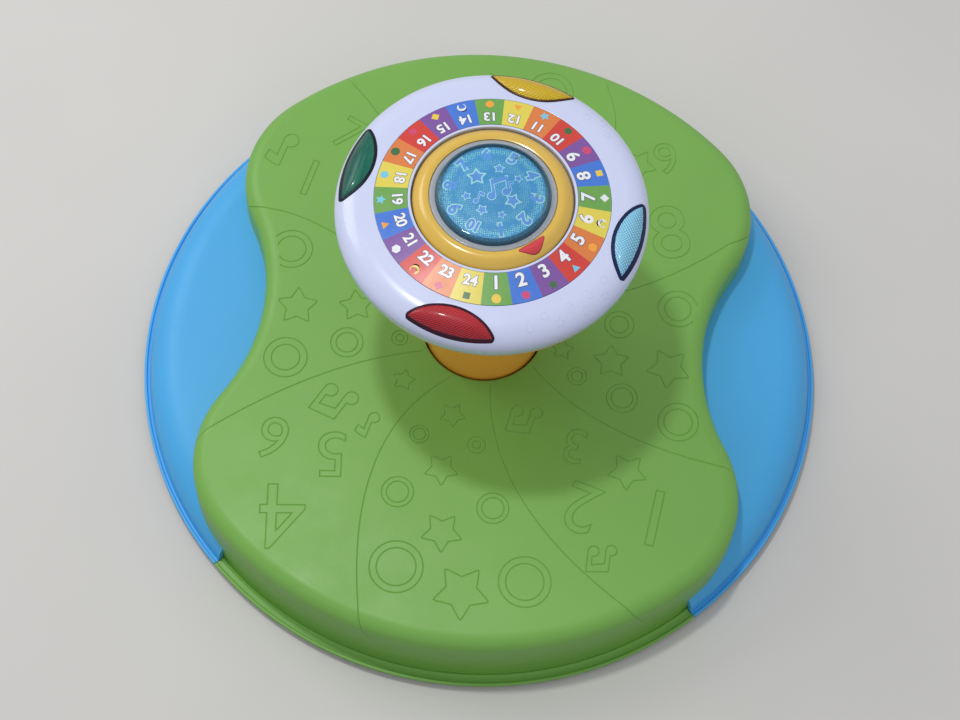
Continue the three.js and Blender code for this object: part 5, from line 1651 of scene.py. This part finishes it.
class TOY_OT_rollers(bpy.types.Operator):
    """Build the four rollers and their axles"""

    bl_idname = "toy.rollers"
    bl_label = "Rollers"

    def execute(self, context):
        plastic, plated = grey("roller_plastic"), steel("axle_steel")
        half = [(2.8, 6), (4.6, 6), (5, 5), (7.2, 5), (7.6, 6), (8.5, 6), (9, 5.4)]
        rim_line = [(x * MM, -y * MM) for x, y in half] + [(x * MM, y * MM) for x, y in half[::-1]]
        pin_line = [(0, -10.5), (2.1, -10.5), (2.5, -10.1), (2.5, 10.1), (2.1, 10.5), (0, 10.5)]
        wheel, wheel_faces = lathe(rim_line, 64)
        pin, pin_faces = lathe([(x * MM, y * MM) for x, y in pin_line], 32)
        level = box_middle("roller_axle_1")[2]
        for i, angle in enumerate(ROLLER_ANGLES):
            piece(f"roller_{i + 1}_wheel", axled(wheel, angle, TRACK_RADIUS, level), wheel_faces, plastic,
                  f"roller_{'abcd'[i]}", "grey_plastic", [f"roller_{i + 1}"])
            piece(f"roller_{i + 1}_pin", axled(pin, angle, TRACK_RADIUS, level), pin_faces, plated,
                  "turntable", "plated_steel", [f"roller_axle_{i + 1}"])
        return {"FINISHED"}


class TOY_OT_screws(bpy.types.Operator):
    """Build the screws with their crossed heads, and the spring of the dome"""

    bl_idname = "toy.screws"
    bl_label = "Screws and spring"

    def execute(self, context):
        plated = steel("screw_steel")
        seat_screws = [(f"seat_screw_{i + 1}", "turntable", 2.6, 2.0) for i in range(4)]
        console_screws = [(f"console_screw_{i + 1}", "base", 2.4, 1.5) for i in range(4)]
        door_screw = ("battery_door_screw", "base", 1.4, 1.2)
        for name, body, head, shank in (*seat_screws, *console_screws, door_screw):
            self.screw(name, body, head * MM, shank * MM, plated)
        self.spring(plated)
        return {"FINISHED"}

    def screw(self, name, body, head, shank, plated):
        low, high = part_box(name)
        x, y, _ = box_middle(name)
        radius, pitch = (high.x - low.x) / 2, 0.6 * MM
        profile = [(0, low.z), (radius * 0.7, low.z), (radius, low.z + head * 0.4), (radius, low.z + head)]
        thread = np.arange(low.z + head + pitch, high.z - 2 * MM, pitch)
        profile += [(shank * (1 if k % 2 else 0.78), level) for k, level in enumerate(thread)]
        profile += [(0, high.z)]
        points, faces = lathe(profile, 24)
        made = piece(f"{name}_detail", moved(points, x, y), faces, plated, body, "plated_steel", [name])
        long, thin = radius * 0.56, radius * 0.13
        cross = [(-thin, -long), (thin, -long), (thin, -thin), (long, -thin), (long, thin), (thin, thin),
                 (thin, long), (-thin, long), (-thin, thin), (-long, thin), (-long, -thin), (-thin, -thin)]
        cut_by(made, [prism(placed(cross, x, y, 0.4), low.z - 1 * MM, low.z + head * 0.6)])

    def spring(self, plated):
        low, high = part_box("dome_spring")
        wire, turns, steps, sides = 0.7 * MM, 5, 40, 10
        radius = high.x - wire
        start, end = low.z + wire, high.z - wire
        points = []
        slope = (end - start) / (2 * math.pi * turns * radius)
        for k in range(turns * steps + 1):
            out = Vector((*polar(1, 2 * math.pi * k / steps), 0))
            along = Vector((-out.y, out.x, slope)).normalized()
            up = along.cross(out) * -1
            centre = out * radius + Vector((0, 0, start + (end - start) * k / (turns * steps)))
            for j in range(sides):
                around = 2 * math.pi * j / sides
                points.append(centre + wire * (math.cos(around) * out + math.sin(around) * up))
        faces = swept(turns * steps + 1, sides, ends=True)
        made = piece("spring", points, faces, plated, "base", "plated_steel", ["dome_spring"])
        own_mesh(made)


# Frame pieces that keep their shape
class TOY_OT_inner_pieces(bpy.types.Operator):
    """Give the pieces that keep their own shape their finishes"""

    bl_idname = "toy.inner_pieces"
    bl_label = "Inner pieces"

    def execute(self, context):
        finishes = {
            "plated_steel": steel("zinc_plate"),
            "grey_plastic": grey("grey_plastic_finish"),
            "black_plastic": moulded("black_plastic_finish", linear(30, 31, 34), 0.45, 0.02 * MM, 0.1),
            "bearing_plastic": moulded(
                "bearing_plastic_finish", linear(222, 222, 216), 0.35, 0.01 * MM, 0.03
            ),
            "board": moulded("board_finish", linear(34, 108, 62), 0.35, 0.01 * MM, 0.15, 0.3),
            "cell_case": moulded("cell_sleeve", linear(60, 96, 168), 0.25, 0.004 * MM, 0.04, 0.6),
            "led_clear": clear("led_resin", linear(236, 238, 240), 0.08, 0.8),
            "orange_plastic": orange("orange_door_plastic"),
        }
        slots = {row["node"]: row["material_slot"] for row in frame["record"]["subparts"]}
        for name, made in frame["nodes"].items():
            if made.hide_render:
                continue
            made.data.materials.clear()
            made.data.materials.append(finishes[slots[name]])
        return {"FINISHED"}


# Stage. The camera is that of the photograph, in the photograph's pixels.
PHOTO_WIDTH, PHOTO_HEIGHT = 960, 720
LENS_PIXELS = 1750
AIM_X, AIM_Y = 480.35, 362.0
SENSOR = 36.0


class TOY_OT_stage(bpy.types.Operator):
    """Set the floor, the lights and the camera"""

    bl_idname = "toy.stage"
    bl_label = "Stage"

    pitch = math.radians(64.93)
    roll = math.radians(4.39)
    distance = 1.372

    def execute(self, context):
        self.camera()
        self.floor()
        self.lights()
        context.scene.view_settings.view_transform = "Standard"
        return {"FINISHED"}

    def camera(self):
        ahead = Vector((0, math.cos(self.pitch), -math.sin(self.pitch)))
        level = Vector((1, 0, 0))
        upright = level.cross(ahead)
        right = math.cos(self.roll) * level + math.sin(self.roll) * upright
        up = -math.sin(self.roll) * level + math.cos(self.roll) * upright
        across = (AIM_X - PHOTO_WIDTH / 2) / LENS_PIXELS * self.distance
        above = -(AIM_Y - PHOTO_HEIGHT / 2) / LENS_PIXELS * self.distance
        place = -(ahead * self.distance + right * across + up * above)
        turn = Matrix.Rotation(VIEW_TURN, 4, "Z")
        axes = Matrix((right, up, -ahead)).transposed().to_4x4()
        data = bpy.data.cameras.new("camera")
        data.sensor_width = SENSOR
        data.lens = LENS_PIXELS / PHOTO_WIDTH * SENSOR
        made = linked("camera", data)
        made.matrix_world = turn @ Matrix.Translation(place) @ axes
        bpy.context.scene.camera = made

    def floor(self):
        size = 6.0
        mesh = bpy.data.meshes.new("floor")
        mesh.from_pydata([(x, y, 0) for x, y in rectangle(-size, size, -size, size)], [], [(0, 1, 2, 3)])
        made = Nodes("pale_floor")
        shown = made.mix(made.spread(made.noise(3.0), 0, 1), linear(214, 211, 206), linear(220, 217, 212))
        # Light that bounces off the floor is that of a darker room floor.
        bounced = linear(134, 130, 126)
        made.into("Base Color", made.mix(self.seen(made.tree), bounced, shown))
        made.fill(made.shader, Roughness=0.7)
        mesh.materials.append(made.material)
        floor = linked("floor", mesh)

    def seen(self, tree):
        """One for rays from the camera, a reflection or through glass, zero for light that bounces."""
        path = tree.nodes.new("ShaderNodeLightPath")
        value = path.outputs["Is Camera Ray"]
        for name in ("Is Glossy Ray", "Is Transmission Ray"):
            either = tree.nodes.new("ShaderNodeMath")
            either.operation = "MAXIMUM"
            tree.links.new(value, either.inputs[0])
            tree.links.new(path.outputs[name], either.inputs[1])
            value = either.outputs[0]
        return value

    def lights(self):
        lamps = (
            ("key", (-0.34, 0.16, 1.85), 0.13, 8.0),
            ("window", (-1.5, 0.8, 1.5), 1.2, 10.0),
        )
        for name, place, size, power in lamps:
            data = bpy.data.lights.new(name, "AREA")
            data.shape = "DISK"
            data.size = size
            data.energy = power
            made = linked(name, data)
            made.location = place
            made.rotation_euler = (Vector((0, 0, 0.1)) - Vector(place)).to_track_quat("-Z", "Y").to_euler()
        world = bpy.data.worlds.new("studio")
        bpy.context.scene.world = world
        world.use_nodes = True
        tree = world.node_tree
        shown, lit = tree.nodes["Background"], tree.nodes.new("ShaderNodeBackground")
        shown.inputs["Color"].default_value = (0.62, 0.64, 0.66, 1)
        shown.inputs["Strength"].default_value = 1.0
        lit.inputs["Color"].default_value = (0.92, 0.95, 1.0, 1)
        lit.inputs["Strength"].default_value = 0.56
        mix = tree.nodes.new("ShaderNodeMixShader")
        tree.links.new(self.seen(tree), mix.inputs[0])
        tree.links.new(lit.outputs[0], mix.inputs[1])
        tree.links.new(shown.outputs[0], mix.inputs[2])
        tree.links.new(mix.outputs[0], tree.nodes["World Output"].inputs["Surface"])


OPERATORS = (
    TOY_OT_stage, TOY_OT_seat, TOY_OT_footrests, TOY_OT_column, TOY_OT_console, TOY_OT_lenses, TOY_OT_dial,
    TOY_OT_pointer, TOY_OT_dome, TOY_OT_base, TOY_OT_rollers, TOY_OT_screws, TOY_OT_inner_pieces,
)


class TOY_PT_panel(bpy.types.Panel):
    """Sizes, colours and build steps of the toy"""

    bl_idname = "TOY_PT_panel"
    bl_label = "Sit-and-spin toy"
    bl_space_type = "VIEW_3D"
    bl_region_type = "UI"
    bl_category = "Toy"

    def draw(self, context):
        for group in (seat(), rim(), console(), colours()):
            box = self.layout.box()
            for name in group.__annotations__:
                box.prop(group, name)
        for operator in OPERATORS:
            self.layout.operator(operator.bl_idname)


GROUPS = {
    "toy_seat": SeatSettings,
    "toy_rim": RimSettings,
    "toy_console": ConsoleSettings,
    "toy_colours": ColourSettings,
}


def register():
    for group in (*GROUPS.values(), *OPERATORS, TOY_PT_panel):
        bpy.utils.register_class(group)
    for name, group in GROUPS.items():
        setattr(bpy.types.Scene, name, PointerProperty(type=group))


def unregister():
    for name in GROUPS:
        delattr(bpy.types.Scene, name)
    for group in reversed((*GROUPS.values(), *OPERATORS, TOY_PT_panel)):
        bpy.utils.unregister_class(group)


def main():
    register()
    for operator in OPERATORS:
        module, name = operator.bl_idname.split(".")
        if getattr(getattr(bpy.ops, module), name)() != {"FINISHED"}:
            raise RuntimeError(f"{operator.bl_label} could not be built")


if __name__ == "__main__":
    main()
